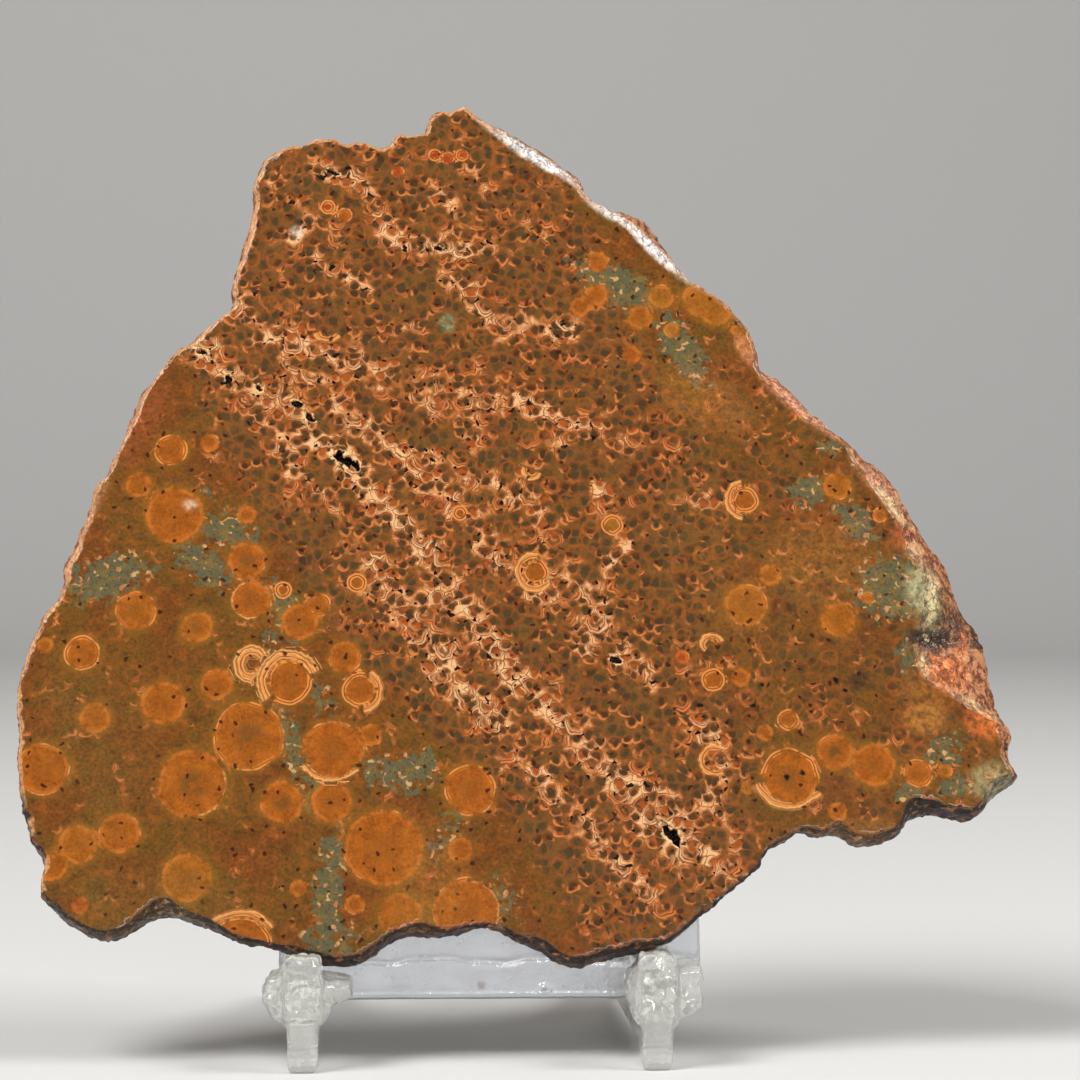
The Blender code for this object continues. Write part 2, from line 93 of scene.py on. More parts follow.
# Orange eyes: x, y and radius in pixels, cream rim, dark middle, redness (0 ochre to 1 red)
EYES = (
    (136, 611, 21, 0.45, 0.25, 0.35), (197, 627, 17, 0.1, 0.4, 0.3), (251, 600, 22, 0.4, 0.3, 0.45),
    (300, 622, 19, 0.2, 0.2, 0.5), (318, 605, 13, 0.5, 0.2, 0.4), (82, 653, 18, 0.6, 0.1, 0.45),
    (45, 645, 9, 0.1, 0.1, 0.5), (289, 681, 24, 1.0, 0.2, 0.55), (217, 684, 17, 0.3, 0.2, 0.5),
    (163, 703, 23, 0.2, 0.2, 0.45), (95, 718, 16, 0.1, 0.1, 0.6), (249, 736, 36, 0.5, 0.55, 0.4),
    (193, 784, 36, 0.25, 0.6, 0.4), (42, 769, 27, 0.4, 0.2, 0.5), (120, 833, 21, 0.3, 0.1, 0.5),
    (78, 844, 20, 0.1, 0.1, 0.3), (282, 802, 22, 0.3, 0.6, 0.45), (187, 878, 25, 0.2, 0.3, 0.3),
    (240, 945, 31, 0.9, 0.2, 0.4), (52, 868, 14, 0.1, 0.1, 0.4), (80, 905, 9, 0.2, 0.1, 0.8),
    (298, 888, 9, 0.2, 0.2, 0.4), (283, 590, 9, 0.8, 0.2, 0.4), (333, 750, 31, 0.45, 0.2, 0.5),
    (332, 802, 21, 0.2, 0.2, 0.5), (383, 847, 40, 0.3, 0.1, 0.5), (467, 912, 35, 0.5, 0.2, 0.5),
    (470, 790, 26, 0.5, 0.2, 0.6), (460, 850, 13, 0.2, 0.2, 0.6), (355, 905, 10, 0.4, 0.2, 0.5),
    (345, 657, 17, 0.4, 0.3, 0.5), (360, 690, 18, 0.8, 0.2, 0.5), (400, 915, 22, 0.3, 0.1, 0.3),
    (371, 735, 12, 0.3, 0.3, 0.4), (171, 450, 17, 0.6, 0.2, 0.5), (139, 485, 14, 0.1, 0.1, 0.4),
    (175, 515, 30, 0.1, 0.0, 0.55), (210, 443, 10, 0.3, 0.2, 0.5), (247, 515, 10, 0.3, 0.2, 0.5),
    (247, 560, 20, 0.3, 0.5, 0.45), (598, 262, 12, 0.2, 0.0, 0.6), (597, 295, 13, 0.3, 0.1, 0.5),
    (580, 307, 11, 0.2, 0.1, 0.6), (661, 297, 14, 0.2, 0.1, 0.15), (640, 318, 14, 0.2, 0.1, 0.3),
    (672, 330, 9, 0.2, 0.1, 0.1), (632, 355, 10, 0.2, 0.1, 0.7), (700, 300, 19, 0.1, 0.0, 0.2),
    (716, 310, 18, 0.1, 0.0, 0.2), (735, 330, 6, 0.1, 0.0, 0.2), (747, 345, 12, 0.1, 0.0, 0.25),
    (328, 207, 8, 0.8, 0.1, 0.9), (345, 215, 8, 0.6, 0.1, 0.7), (435, 155, 7, 0.7, 0.1, 0.9),
    (448, 158, 7, 0.6, 0.1, 0.9), (462, 155, 7, 0.6, 0.1, 0.9), (398, 172, 7, 0.5, 0.1, 0.9),
    (837, 486, 15, 0.3, 0.1, 0.25), (745, 500, 14, 0.9, 0.2, 0.4), (880, 515, 8, 0.4, 0.1, 0.3),
    (746, 605, 23, 0.35, 0.3, 0.25), (770, 575, 12, 0.2, 0.1, 0.3), (838, 620, 18, 0.0, 0.2, 0.3),
    (868, 598, 7, 0.4, 0.0, 0.3), (713, 680, 12, 0.7, 0.1, 0.6), (741, 678, 10, 0.3, 0.1, 0.6),
    (682, 657, 8, 0.3, 0.1, 0.9), (788, 720, 11, 0.6, 0.2, 0.4), (765, 733, 9, 0.3, 0.1, 0.4),
    (790, 778, 30, 0.7, 0.4, 0.45), (835, 752, 19, 0.3, 0.7, 0.4), (874, 765, 23, 0.2, 0.3, 0.45),
    (918, 773, 15, 0.5, 0.1, 0.35), (945, 771, 8, 0.3, 0.1, 0.3), (747, 788, 7, 0.2, 0.0, 0.0),
    (838, 812, 10, 0.2, 0.0, 0.4), (535, 572, 14, 1.0, 0.3, 0.6), (357, 583, 10, 1.0, 0.3, 0.6),
    (460, 513, 8, 0.9, 0.3, 0.6), (612, 525, 11, 0.9, 0.0, 0.1),
)
# Cream arcs that follow no eye: x, y, radius, direction of the arc's middle and half its angle in
# degrees (up is 90), extra width in mm
ARCS = (
    (252, 664, 14, 165, 130, 0.75), (289, 681, 28, 120, 100, 0.55), (240, 950, 40, 95, 60, 0.1),
    (333, 745, 36, 265, 50, 0.0), (360, 690, 22, 350, 70, 0.1), (790, 772, 36, 262, 62, 0.2),
    (712, 645, 11, 120, 100, 0.0), (715, 760, 15, 180, 120, 0.0), (532, 470, 9, 250, 90, 0.0),
    (328, 328, 14, 265, 60, 0.1), (535, 572, 19, 200, 120, 0.1), (467, 912, 29, 10, 70, 0.0),
    (745, 500, 20, 180, 80, 0.0), (251, 600, 17, 200, 90, 0.0), (193, 784, 30, 330, 60, 0.0),
)
# Seams where the pale arcs crowd: points in pixels, half width in pixels, strength
SEAMS = (
    (((200, 345), (225, 372), (262, 398), (295, 405), (308, 430), (345, 460), (430, 560), (500, 660),
      (600, 760), (680, 860)), 13, 1.0),
    (((245, 300), (262, 330), (300, 345), (345, 360), (400, 378), (450, 390), (520, 400), (590, 430)),
     14, 0.75),
    (((315, 260), (365, 290)), 9, 0.9), (((378, 220), (400, 245), (480, 250)), 10, 1.0),
    (((292, 240), (310, 222)), 7, 0.9), (((322, 168), (357, 180), (372, 190)), 9, 0.9),
    (((455, 280), (490, 320), (530, 330), (575, 330)), 11, 0.8),
    (((470, 170), (505, 215), (545, 240)), 8, 0.6),
    (((430, 180), (440, 200), (470, 225)), 8, 0.5), (((385, 328), (420, 328)), 6, 0.8),
    (((283, 362), (297, 372), (330, 382)), 8, 0.7), (((275, 445), (290, 465), (335, 505)), 8, 0.8),
    (((200, 480), (212, 455), (205, 440)), 7, 0.5),
    (((400, 450), (440, 470), (520, 500), (540, 530)), 15, 0.6),
    (((340, 400), (380, 440), (450, 500), (500, 560), (560, 600), (590, 650)), 13, 0.75),
    (((360, 560), (410, 610), (450, 680), (500, 720)), 15, 0.85),
    (((500, 565), (560, 580), (600, 610), (640, 665)), 13, 0.75),
    (((520, 760), (560, 800), (610, 850), (650, 900)), 12, 0.8),
    (((610, 760), (660, 800), (720, 870)), 15, 0.85),
    (((700, 720), (725, 760), (715, 800), (735, 850)), 11, 0.7),
    (((600, 490), (625, 540), (600, 585)), 8, 0.7), (((680, 500), (745, 505)), 8, 0.5),
    (((250, 395), (270, 430), (300, 455)), 9, 0.7), (((430, 590), (470, 620), (520, 690)), 13, 0.8),
    (((560, 560), (620, 620), (650, 690)), 10, 0.5), (((380, 380), (430, 405), (480, 440)), 11, 0.6),
    (((300, 205), (330, 230), (350, 255)), 8, 0.4), (((560, 420), (620, 440), (680, 450)), 9, 0.5),
    (((440, 400), (475, 375), (520, 400), (560, 440)), 11, 0.6),
    (((270, 180), (300, 175), (330, 150)), 7, 0.5),
)
# The band of crowded small orbs, its corners in pixels
BAND = ((215, 150), (330, 120), (470, 100), (575, 190), (600, 260), (680, 400), (745, 470), (735, 560),
        (705, 640), (740, 720), (765, 850), (690, 940), (600, 960), (500, 800), (420, 720),
        (340, 640), (290, 560), (240, 480), (200, 400), (190, 330), (225, 250))
# Grey-green patches: x, y, half length, half width, turn in degrees (anticlockwise), strength
TEAL = (
    (105, 578, 34, 18, 20, 0.9), (228, 530, 24, 14, -30, 0.8), (205, 565, 26, 14, -40, 0.9),
    (285, 610, 30, 12, -70, 0.7), (290, 745, 30, 9, -80, 0.8), (328, 900, 52, 11, 85, 1.0),
    (395, 775, 26, 14, -15, 0.8), (420, 768, 14, 14, 0, 1.0), (450, 830, 30, 9, 60, 0.6),
    (500, 905, 22, 14, -60, 0.6), (618, 285, 38, 16, -30, 1.0), (682, 348, 34, 14, -60, 1.0),
    (808, 492, 16, 13, 0, 0.9), (856, 522, 20, 12, -50, 0.9), (828, 449, 10, 7, 0, 0.8),
    (889, 587, 27, 25, 10, 1.0), (944, 752, 20, 13, 20, 0.8), (910, 792, 12, 9, 0, 0.9),
    (955, 787, 12, 9, 0, 0.9), (908, 655, 9, 16, 0, 0.7), (308, 780, 14, 30, 0, 0.5),
    (322, 700, 10, 22, 20, 0.5), (330, 940, 22, 18, 0, 0.7), (270, 655, 9, 28, 0, 0.45),
    (870, 470, 20, 14, -30, 0.5), (780, 800, 12, 10, 0, 0.4), (205, 500, 14, 10, 0, 0.4),
)
# Rind, glaze and stains, with painted shade in two hollows of the rind and partly painted glints: x, y,
# half length, half width, turn, strength, colour name
STAINS_AND_PAINTED_LIGHT = (
    (534, 155, 66, 12, -36, 1.0, "white rind"), (637, 237, 80, 12, -42, 1.0, "white rind"),
    (800, 402, 60, 14, -42, 0.75, "pink rind"), (745, 350, 22, 9, -60, 0.5, "pink rind"),
    (925, 592, 22, 36, 5, 0.75, "green glaze"), (880, 480, 40, 14, -45, 0.6, "pink rind"),
    # Partly painted glints: the pale yellow glaze spots and streaks on the next lines are pale glaze
    # where the glossy rind also catches the light
    (934, 600, 8, 34, -12, 0.8, "pale glaze and painted glint"), (916, 548, 8, 12, -30, 0.6, "pale glaze and painted glint"),
    (890, 500, 30, 8, -50, 0.7, "pale glaze and painted glint"), (966, 640, 8, 30, -18, 0.6, "orange lump"),
    (924, 664, 5, 14, 0, 0.7, "pale glaze and painted glint"), (985, 708, 26, 6, -32, 0.7, "pale glaze and painted glint"),
    # Painted shade: the darkest entries, here and at 860, 680, stand for the shade in hollows of the
    # rind
    (930, 636, 30, 13, 5, 0.95, "painted hollow shade"), (950, 670, 30, 22, 0, 0.8, "orange lump"),
    (912, 535, 24, 24, 0, 0.6, "red rind"), (925, 717, 26, 20, 0, 0.7, "ochre"),
    (985, 722, 24, 20, -30, 0.7, "orange lump"), (990, 780, 28, 20, 20, 0.5, "green glaze"),
    (860, 680, 14, 13, 0, 0.75, "painted hollow shade"), (930, 690, 34, 20, 0, 0.4, "ochre"),
    (705, 400, 60, 34, -30, 0.35, "ochre"), (690, 530, 50, 60, 0, 0.15, "olive"),
    (820, 560, 60, 50, 0, 0.3, "ochre"), (110, 760, 60, 90, 0, 0.2, "olive"),
    (150, 900, 100, 40, 0, 0.3, "olive"), (75, 720, 40, 60, 0, 0.2, "olive"),
    (140, 420, 22, 60, -25, 0.25, "red rind"), (430, 880, 40, 60, 0, 0.25, "ochre"),
    (190, 505, 9, 7, 0, 0.4, "white spot"), (297, 232, 9, 8, 0, 0.5, "white spot"),
    (447, 323, 10, 12, 0, 0.8, "green orb"),
    (60, 575, 10, 24, -20, 0.4, "pink rind"), (95, 500, 9, 60, -22, 0.3, "pink rind"),
    (840, 835, 60, 14, 10, 0.4, "ochre"), (725, 585, 40, 60, 0, 0.12, "ochre"),
)
# Colours as they are seen, 0 to 255
COLOURS = {
    "white rind": (228, 220, 216), "white spot": (216, 206, 196), "pink rind": (206, 138, 108),
    # The pale yellow glaze on the next line is partly a painted glint
    "green glaze": (168, 164, 124), "green orb": (124, 124, 88), "pale glaze and painted glint": (242, 224, 170),
    # The darkest brown on the next line is painted shade for the rind's hollows
    "painted hollow shade": (52, 34, 22), "orange lump": (206, 108, 48), "red rind": (176, 88, 48),
    "ochre": (168, 112, 48), "olive": (112, 88, 42),
    "brown earth": (116, 84, 36), "light mottling": (156, 94, 38), "dark mottling": (88, 62, 30),
    "band ground": (112, 84, 54), "orb wall": (150, 96, 54), "russet ring": (122, 56, 26),
    "dark orb": (62, 46, 30), "faint ring": (174, 98, 42), "seam ground": (178, 108, 60),
    "filled orb": (186, 98, 46), "orb hole": (72, 54, 34), "peach": (224, 144, 90),
    # The near-black on the next line is painted shade for tiny vugs
    "red thread": (124, 44, 20), "cavity": (22, 16, 12), "sage": (128, 122, 84),
    "dark green": (64, 70, 52), "brown fleck": (198, 132, 88), "pale fleck": (216, 190, 158),
    "ochre eye": (168, 112, 42), "red eye": (178, 78, 40), "eye middle": (98, 76, 38),
    "eye brink": (212, 134, 68), "halo": (164, 118, 44), "arc shade": (188, 118, 66),
    "arc light": (246, 200, 142), "eye rim": (232, 160, 100), "rim thread": (128, 48, 22),
    # The near-black on the next line is painted shade in the pits and tiny holes
    "speck": (62, 24, 14), "chalk": (255, 226, 186), "pit black": (24, 16, 12),
    # The near-black brown on the next line is painted shade on the rim's underside
    "broken dark": (118, 60, 30), "broken light": (222, 152, 104), "underside": (36, 21, 12),
    # The crust colour on the next line is partly natural pale crust, partly a painted highlight along
    # the upper edges
    # The pale cream for the rim's high lumps on the next line is partly pale crystal, partly a painted
    # glint
    "cream glint": (240, 214, 160), "crust": (232, 180, 140), "plate stain": (150, 110, 70),
}
# Small dots painted dark as the shade inside tiny open pits: x, y, radius in pixels, darkness
PIT_SHADE_DOTS = ((700, 705, 2.5, 1.0), (753, 706, 2.5, 1.0), (917, 705, 3, 1.0),
        (762, 685, 2.5, 1.0), (727, 722, 2.5, 1.0), (836, 680, 3, 1.0), (845, 690, 2.5, 1.0),
        (428, 249, 3, 1.0), (436, 247, 2.5, 1.0), (445, 251, 2.5, 1.0), (322, 178, 3, 1.0),
        (348, 168, 3, 1.0), (787, 777, 3.5, 0.8), (803, 773, 3, 0.8), (252, 785, 3, 0.5))

# Soft lamps: name, place and width in m, power in W
LAMPS = (("high left lamp", (-0.75, -0.55, 1.25), 0.7, 18.5),
         ("high right lamp", (0.95, -0.25, 0.95), 0.5, 9.5),
         ("low side lamp", (-1.3, -0.5, 0.35), 0.6, 2),
         ("low front lamp", (0.2, -1.1, 0.16), 0.25, 2.7))


class StoneSettings(bpy.types.PropertyGroup):
    face_spacing: bpy.props.FloatProperty(
        name="Face spacing", description="Distance between the points of the polished face",
        default=0.45 * MM, min=0.3 * MM, unit="LENGTH")
    back_spacing: bpy.props.FloatProperty(
        name="Back spacing", description="Distance between the points of the sawn back",
        default=0.9 * MM, min=0.5 * MM, unit="LENGTH")
    pit_spacing: bpy.props.FloatProperty(
        name="Pit spacing", description="Distance between the points in and round an open pit",
        default=0.13 * MM, min=0.08 * MM, unit="LENGTH")
    rim_relief: bpy.props.FloatProperty(
        name="Rim relief", description="Height of the broken rim's unevenness",
        default=0.42 * MM, unit="LENGTH")
    orb_cell: bpy.props.FloatProperty(
        name="Orb spacing", description="Usual distance from one small orb to the next",
        default=1.5 * MM, min=0.5 * MM, unit="LENGTH")
    matrix: bpy.props.FloatVectorProperty(
        name="Matrix", description="Colour of the brown stone between the markings",
        subtype="COLOR", default=(0.19, 0.07, 0.016), min=0, max=1)
    olive: bpy.props.FloatVectorProperty(
        name="Olive", description="Colour of the olive mottling and of the orbs' middles",
        subtype="COLOR", default=(0.055, 0.05, 0.028), min=0, max=1)
    orange: bpy.props.FloatVectorProperty(
        name="Orange", description="Colour of the large eyes",
        subtype="COLOR", default=(0.41, 0.124, 0.013), min=0, max=1)
    cream: bpy.props.FloatVectorProperty(
        name="Cream", description="Colour of the pale arcs and seams",
        subtype="COLOR", default=(0.94, 0.64, 0.44), min=0, max=1)
    teal: bpy.props.FloatVectorProperty(
        name="Grey-green", description="Colour of the grey-green patches",
        subtype="COLOR", default=(0.12, 0.16, 0.125), min=0, max=1)
    polish: bpy.props.FloatVectorProperty(
        name="Polish", description="Tone that the wet-looking polish deepens every colour with",
        subtype="COLOR", default=(0.82, 0.69, 0.46), min=0, max=1)
    seed: bpy.props.IntProperty(
        name="Seed", description="Number that the small features are scattered from", default=7)


class StandSettings(bpy.types.PropertyGroup):
    spacing: bpy.props.FloatProperty(
        name="Mesh spacing", description="Size of the mouldings' mesh faces",
        default=0.36 * MM, min=0.2 * MM, unit="LENGTH")
    bubbles: bpy.props.IntProperty(
        name="Bubbles", description="Number of bubbles inside each moulding", default=120, min=0)
    leg_tint: bpy.props.FloatVectorProperty(
        name="Leg tint", description="Colour of the legs' plastic",
        subtype="COLOR", default=(0.99, 0.99, 0.94), min=0, max=1)
    plate_tint: bpy.props.FloatVectorProperty(
        name="Plate tint", description="Colour of the back plate's plastic",
        subtype="COLOR", default=(0.92, 0.94, 0.99), min=0, max=1)


class StageSettings(bpy.types.PropertyGroup):
    floor_size: bpy.props.FloatProperty(
        name="Floor size", description="Width of the pale floor and backdrop", default=5.0,
        unit="LENGTH")
    floor_colour: bpy.props.FloatVectorProperty(
        name="Floor colour", description="Colour of the floor and the backdrop",
        subtype="COLOR", default=(0.72, 0.715, 0.7), min=0, max=1)


def on_face(x, y):
    """Place across and up the slab's face, in mm, that the view shows at pixel x, y."""
    right = Vector((math.cos(VIEW_TURN), -math.sin(VIEW_TURN), 0))
    up = Vector((0, 0, 1))
    ray = VIEW_FORWARD + right * (x - VIEW_MIDDLE) / VIEW_FOCAL + up * (VIEW_MIDDLE - y) / VIEW_FOCAL
    normal = Vector((0, -math.cos(LEAN), math.sin(LEAN)))
    foot = Vector((0, 0, FACE_FOOT))
    hit = VIEW_EYE + ray * (normal.dot(foot - VIEW_EYE) / normal.dot(ray))
    return np.array((hit.x, (hit - foot).dot(Vector((0, math.sin(LEAN), math.cos(LEAN))))))


def linear(colour):
    """A colour of 0 to 255 as seen, as the amounts of light that a material takes."""
    return tuple(((c / 255 + 0.055) / 1.055) ** 2.4 for c in colour)


def cad_slab():
    """The slab's solid in its own axes and mm: across, back from the face, up the face."""
    bm = bmesh.new()
    bm.from_mesh(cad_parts["rhyolite_slab"].data)
    bm.transform(SLAB_AXES.inverted())
    bmesh.ops.remove_doubles(bm, verts=bm.verts, dist=0.002)
    return bm


def places_of(verts):
    """Where vertices lie across and up the face."""
    return np.array([(v.co.x, v.co.z) for v in verts])


def points_of(mesh):
    """The points of a mesh, one row each."""
    points = np.empty(len(mesh.vertices) * 3, np.float32)
    mesh.vertices.foreach_get("co", points)
    return points.reshape(-1, 3).astype(float)


def smooth(bm, verts):
    bmesh.ops.smooth_vert(bm, verts=verts, factor=0.5, use_axis_x=True, use_axis_y=True,
                          use_axis_z=True)


def hold_between(bm, low, high):
    """Moves every point that lies outside a box onto it."""
    for vert in bm.verts:
        for i in range(3):
            vert.co[i] = min(max(vert.co[i], low[i]), high[i])


def islands(bm):
    """The mesh's vertices in connected groups, the largest first."""
    left, groups = set(bm.verts), []
    while left:
        front = [left.pop()]
        group = []
        while front:
            vert = front.pop()
            group.append(vert)
            for edge in vert.link_edges:
                other = edge.other_vert(vert)
                if other in left:
                    left.discard(other)
                    front.append(other)
        groups.append(group)
    return sorted(groups, key=len, reverse=True)


def open_loops(bm):
    """The two rings of boundary vertices, in order, the face's first."""
    edges = {e for e in bm.edges if e.is_boundary}
    loops = []
    while edges:
        edge = edges.pop()
        loop = list(edge.verts)
        while True:
            after = [e for e in loop[-1].link_edges if e in edges]
            if not after:
                break
            edges.discard(after[0])
            loop.append(after[0].other_vert(loop[-1]))
        if loop[0] is loop[-1]:
            loop.pop()
        loops.append(loop)
    loops = sorted(loops, key=len, reverse=True)[:2]
    return sorted(loops, key=lambda loop: loop[0].co.y)


def take_pits(bm):
    """Removes the flat faces and the pits from the solid, and returns what each pit measured:
    middle, long axis, half length, half width, depth."""
    flat = [f for f in bm.faces
            if all(abs(v.co.y) < IN_PLANE for v in f.verts)
            or all(abs(v.co.y - THICKNESS) < IN_PLANE for v in f.verts)]
    bmesh.ops.delete(bm, geom=flat, context="FACES")
    bmesh.ops.delete(bm, geom=[v for v in bm.verts if not v.link_faces], context="VERTS")
    pits = []
    for group in islands(bm)[1:]:
        rim = places_of(v for v in group if v.co.y < IN_PLANE)
        middle = rim.mean(0)
        spread, axes = np.linalg.eigh(np.cov((rim - middle).T))
        half_width, half_length = np.sqrt(2 * spread)
        pits.append((middle, axes[:, 1], half_length, half_width, max(v.co.y for v in group)))
        bmesh.ops.delete(bm, geom=group, context="VERTS")
    return sorted(pits, key=lambda pit: tuple(pit[0]))


def roughen_rim(bm, relief):
    """Fine broken relief on the rim, mostly into the stone, none past its own box."""
    bm.normal_update()
    low = Vector([min(v.co[i] for v in bm.verts) for i in range(3)])
    high = Vector([max(v.co[i] for v in bm.verts) for i in range(3)])
    for vert in bm.verts:
        coarse = noise.fractal(vert.co * 0.55, 0.9, 2.2, 3)
        cracks = abs(noise.noise(vert.co * 1.1)) ** 0.5 - 0.55
        fine = noise.noise(vert.co * 3.1)
        chips = noise.voronoi(vert.co * 0.62)[0]
        coarse += 0.9 * (chips[1] - chips[0]) - 0.4
        if vert.is_boundary:
            inward = Vector((vert.normal.x, 0, vert.normal.z)).normalized()
            vert.co -= inward * relief * (0.2 + 0.18 * fine + 0.15 * abs(coarse))
        else:
            vert.co += vert.normal * relief * (0.55 * coarse + 0.75 * cracks + 0.18 * fine - 0.2)
    hold_between(bm, low, high)


def spread_points(outline, spacing, margin, rng):
    """Jittered points in rows inside an outline, at least a margin from it."""
    low, high = outline.min(0), outline.max(0)
    xs = np.arange(low[0], high[0], spacing)
    zs = np.arange(low[1], high[1], spacing * ROW_STEP)
    grid = np.array([(x + spacing * 0.5 * (j % 2), z) for j, z in enumerate(zs) for x in xs])
    grid += rng.uniform(-0.16, 0.16, grid.shape) * spacing
    return grid[inside(outline, grid) & (nearest(outline, grid)[1] > margin)]


def inside(outline, points):
    """Whether each point is inside the closed outline."""
    odd = np.zeros(len(points), bool)
    for a, b in zip(outline, np.roll(outline, -1, 0)):
        if a[1] == b[1]:
            continue
        across = a[0] + (points[:, 1] - a[1]) / (b[1] - a[1]) * (b[0] - a[0])
        odd ^= ((points[:, 1] > a[1]) != (points[:, 1] > b[1])) & (points[:, 0] < across)
    return odd


def nearest(outline, points):
    """Number of the outline's point nearest to each point, and its distance."""
    tree = kdtree.KDTree(len(outline))
    for i, (x, z) in enumerate(outline):
        tree.insert((x, z, 0), i)
    tree.balance()
    found = [tree.find((x, z, 0)) for x, z in points]
    return np.array([f[1] for f in found]), np.array([f[2] for f in found])


def fill_flat(bm, loop, extra, depth_at):
    """Fills a ring of vertices with a fine triangle mesh, set back by depth_at(places)."""
    outline = places_of(loop)
    coords = [Vector(p) for p in outline] + [Vector(p) for p in extra]
    places, _, faces, origins, _, _ = geometry.delaunay_2d_cdt(coords, [], [], 0, 1e-5, True)
    flat = np.array([tuple(p) for p in places])
    faces = np.array(faces)
    faces = faces[inside(outline, flat[faces].mean(1))]
    depths = depth_at(flat) + loop[0].co.y
    verts = []
    for place, came_from, depth in zip(places, origins, depths):
        known = [i for i in came_from if i < len(loop)]
        verts.append(loop[known[0]] if known else bm.verts.new((place.x, depth, place.y)))
    for face in faces:
        bm.faces.new([verts[i] for i in face])


def pit_share(places, pit):
    """How far each place lies from a pit's middle: 0 there, 1 on the pit's rim."""
    middle, axis, half_length, half_width, _ = pit
    off = places - middle
    aside = off @ np.array([-axis[1], axis[0]]) / half_width
    return np.hypot(off @ axis / half_length, aside)


def pit_depth(places, pits):
    """How deep each point of the face lies in the open pits."""
    depth = np.zeros(len(places))
    for pit in pits:
        reach = pit_share(places, pit)
        for i in np.nonzero(reach < 1.5)[0]:
            x, z = places[i]
            wave = 0.55 * noise.noise(Vector((x, 3.7, z)) * 1.5)
            wave += 0.2 * noise.noise(Vector((x, 0, z)) * 4)
            share = min(max((1 - reach[i] - wave) / 0.45, 0), 1)
            floor = 1 + 0.25 * noise.noise(Vector((x, 9, z)) * 3)
            depth[i] = max(depth[i], pit[-1] * floor * share * share * (3 - 2 * share))
    return depth


def stone_mesh(settings):
    """The slab's fine mesh, still in its own axes and mm, the outline of its face and its pits."""
    rng = np.random.default_rng(settings.seed)
    bm = cad_slab()
    pits = take_pits(bm)
    bmesh.ops.subdivide_edges(bm, edges=bm.edges[:], cuts=2, use_grid_fill=True)
    inner = [v for v in bm.verts if not v.is_boundary]
    smooth(bm, inner)
    smooth(bm, inner)
    roughen_rim(bm, settings.rim_relief / MM)
    face_loop, back_loop = open_loops(bm)
    outline = places_of(face_loop)
    spacing = settings.face_spacing / MM
    points = [spread_points(outline, spacing, spacing * 0.6, rng)]
    for pit in pits:
        reach = PIT_MARGIN * pit[2]
        box = pit[0] + np.array([(-reach, -reach), (reach, -reach), (reach, reach), (-reach, reach)])
        close = spread_points(box, settings.pit_spacing / MM, 0, rng)
        close = close[pit_share(close, pit) < PIT_MARGIN]
        points.append(close[inside(outline, close)])
    fill_flat(bm, face_loop, np.vstack(points), lambda places: pit_depth(places, pits))
    spacing = settings.back_spacing / MM
    points = spread_points(places_of(back_loop), spacing, spacing * 0.5, rng)
    fill_flat(bm, back_loop, points, lambda places: np.zeros(len(places)))
    bmesh.ops.holes_fill(bm, edges=[e for e in bm.edges if e.is_boundary])
    bmesh.ops.triangulate(bm, faces=[f for f in bm.faces if len(f.verts) > 4])
    bmesh.ops.recalc_face_normals(bm, faces=bm.faces)
    return bm, outline, pits


def ellipse_share(places, x, y, half_length, half_width, turn=0):
    """How far each place lies from an ellipse's middle: 0 there, 1 on its line."""
    angle = math.radians(turn)
    dx, dz = (places - on_face(x, y)).T
    along = (dx * math.cos(angle) + dz * math.sin(angle)) / (half_length * PIXEL)
    aside = (dz * math.cos(angle) - dx * math.sin(angle)) / (half_width * PIXEL)
    return np.hypot(along, aside)


def line_distance(places, points):
    """Distance of each place from a bent line."""
    least = np.full(len(places), np.inf)
    for a, b in zip(points[:-1], points[1:]):
        along = b - a
        share = np.clip((places - a) @ along / (along @ along), 0, 1)
        least = np.minimum(least, np.hypot(*(places - a - share[:, None] * along).T))
    return least


def ease(value, low, high):
    """0 at low, 1 at high, eased between."""
    share = np.clip((value - low) / (high - low), 0, 1)
    return share * share * (3 - 2 * share)


def measure_eyes(flat, through):
    """For each place: offset from the middle of its eye and that eye's radius in mm; cream rim,
    dark middle and redness of the eye; mm inside its rim and whether it is filled.  Through the
    stone the eyes shift and shrink."""
    best = np.full(len(flat), -6.0)
    eye = np.tile((9.0, 9.0, 0.5), (len(flat), 1))
    tone = np.zeros((len(flat), 3))
    fill = np.zeros(len(flat))
    rng = np.random.default_rng(11)
    for x, y, radius, *look in EYES:
        shift = rng.uniform(-1.5, 1.5, 2)
        size = radius * PIXEL * (1 - rng.uniform(-0.1, 0.7) * through)
        off = flat - on_face(x, y) - shift * through[:, None]
        depth = size - np.hypot(*off.T)
        take = (depth > best) & (depth > -1.6)
        best = np.where(take, depth, best)
        eye[take] = np.column_stack([off, size])[take]
        tone[take] = look
        fill[take] = 1
    for x, y, radius, side, half, extra in ARCS:
        off = flat - on_face(x, y)
        turn = np.degrees(np.arctan2(off[:, 1], off[:, 0])) - side
        turn = np.abs((turn + 180) % 360 - 180)
        size = np.full(len(flat), radius * PIXEL)
        depth = size - np.hypot(*off.T)
        take = (np.abs(depth) < 0.7 + 0.8 * extra) & (turn < half + 15)
        take &= (through < 0.3) & (best < 0.4)
        best = np.where(take, depth, best)
        eye[take] = np.column_stack([off, size])[take]
        tone[take] = 0, extra, 0
        tone[take, 0] = 1 - ease(turn[take], half - 10, half + 10)
        fill[take] = 0
    return eye, tone, best, fill


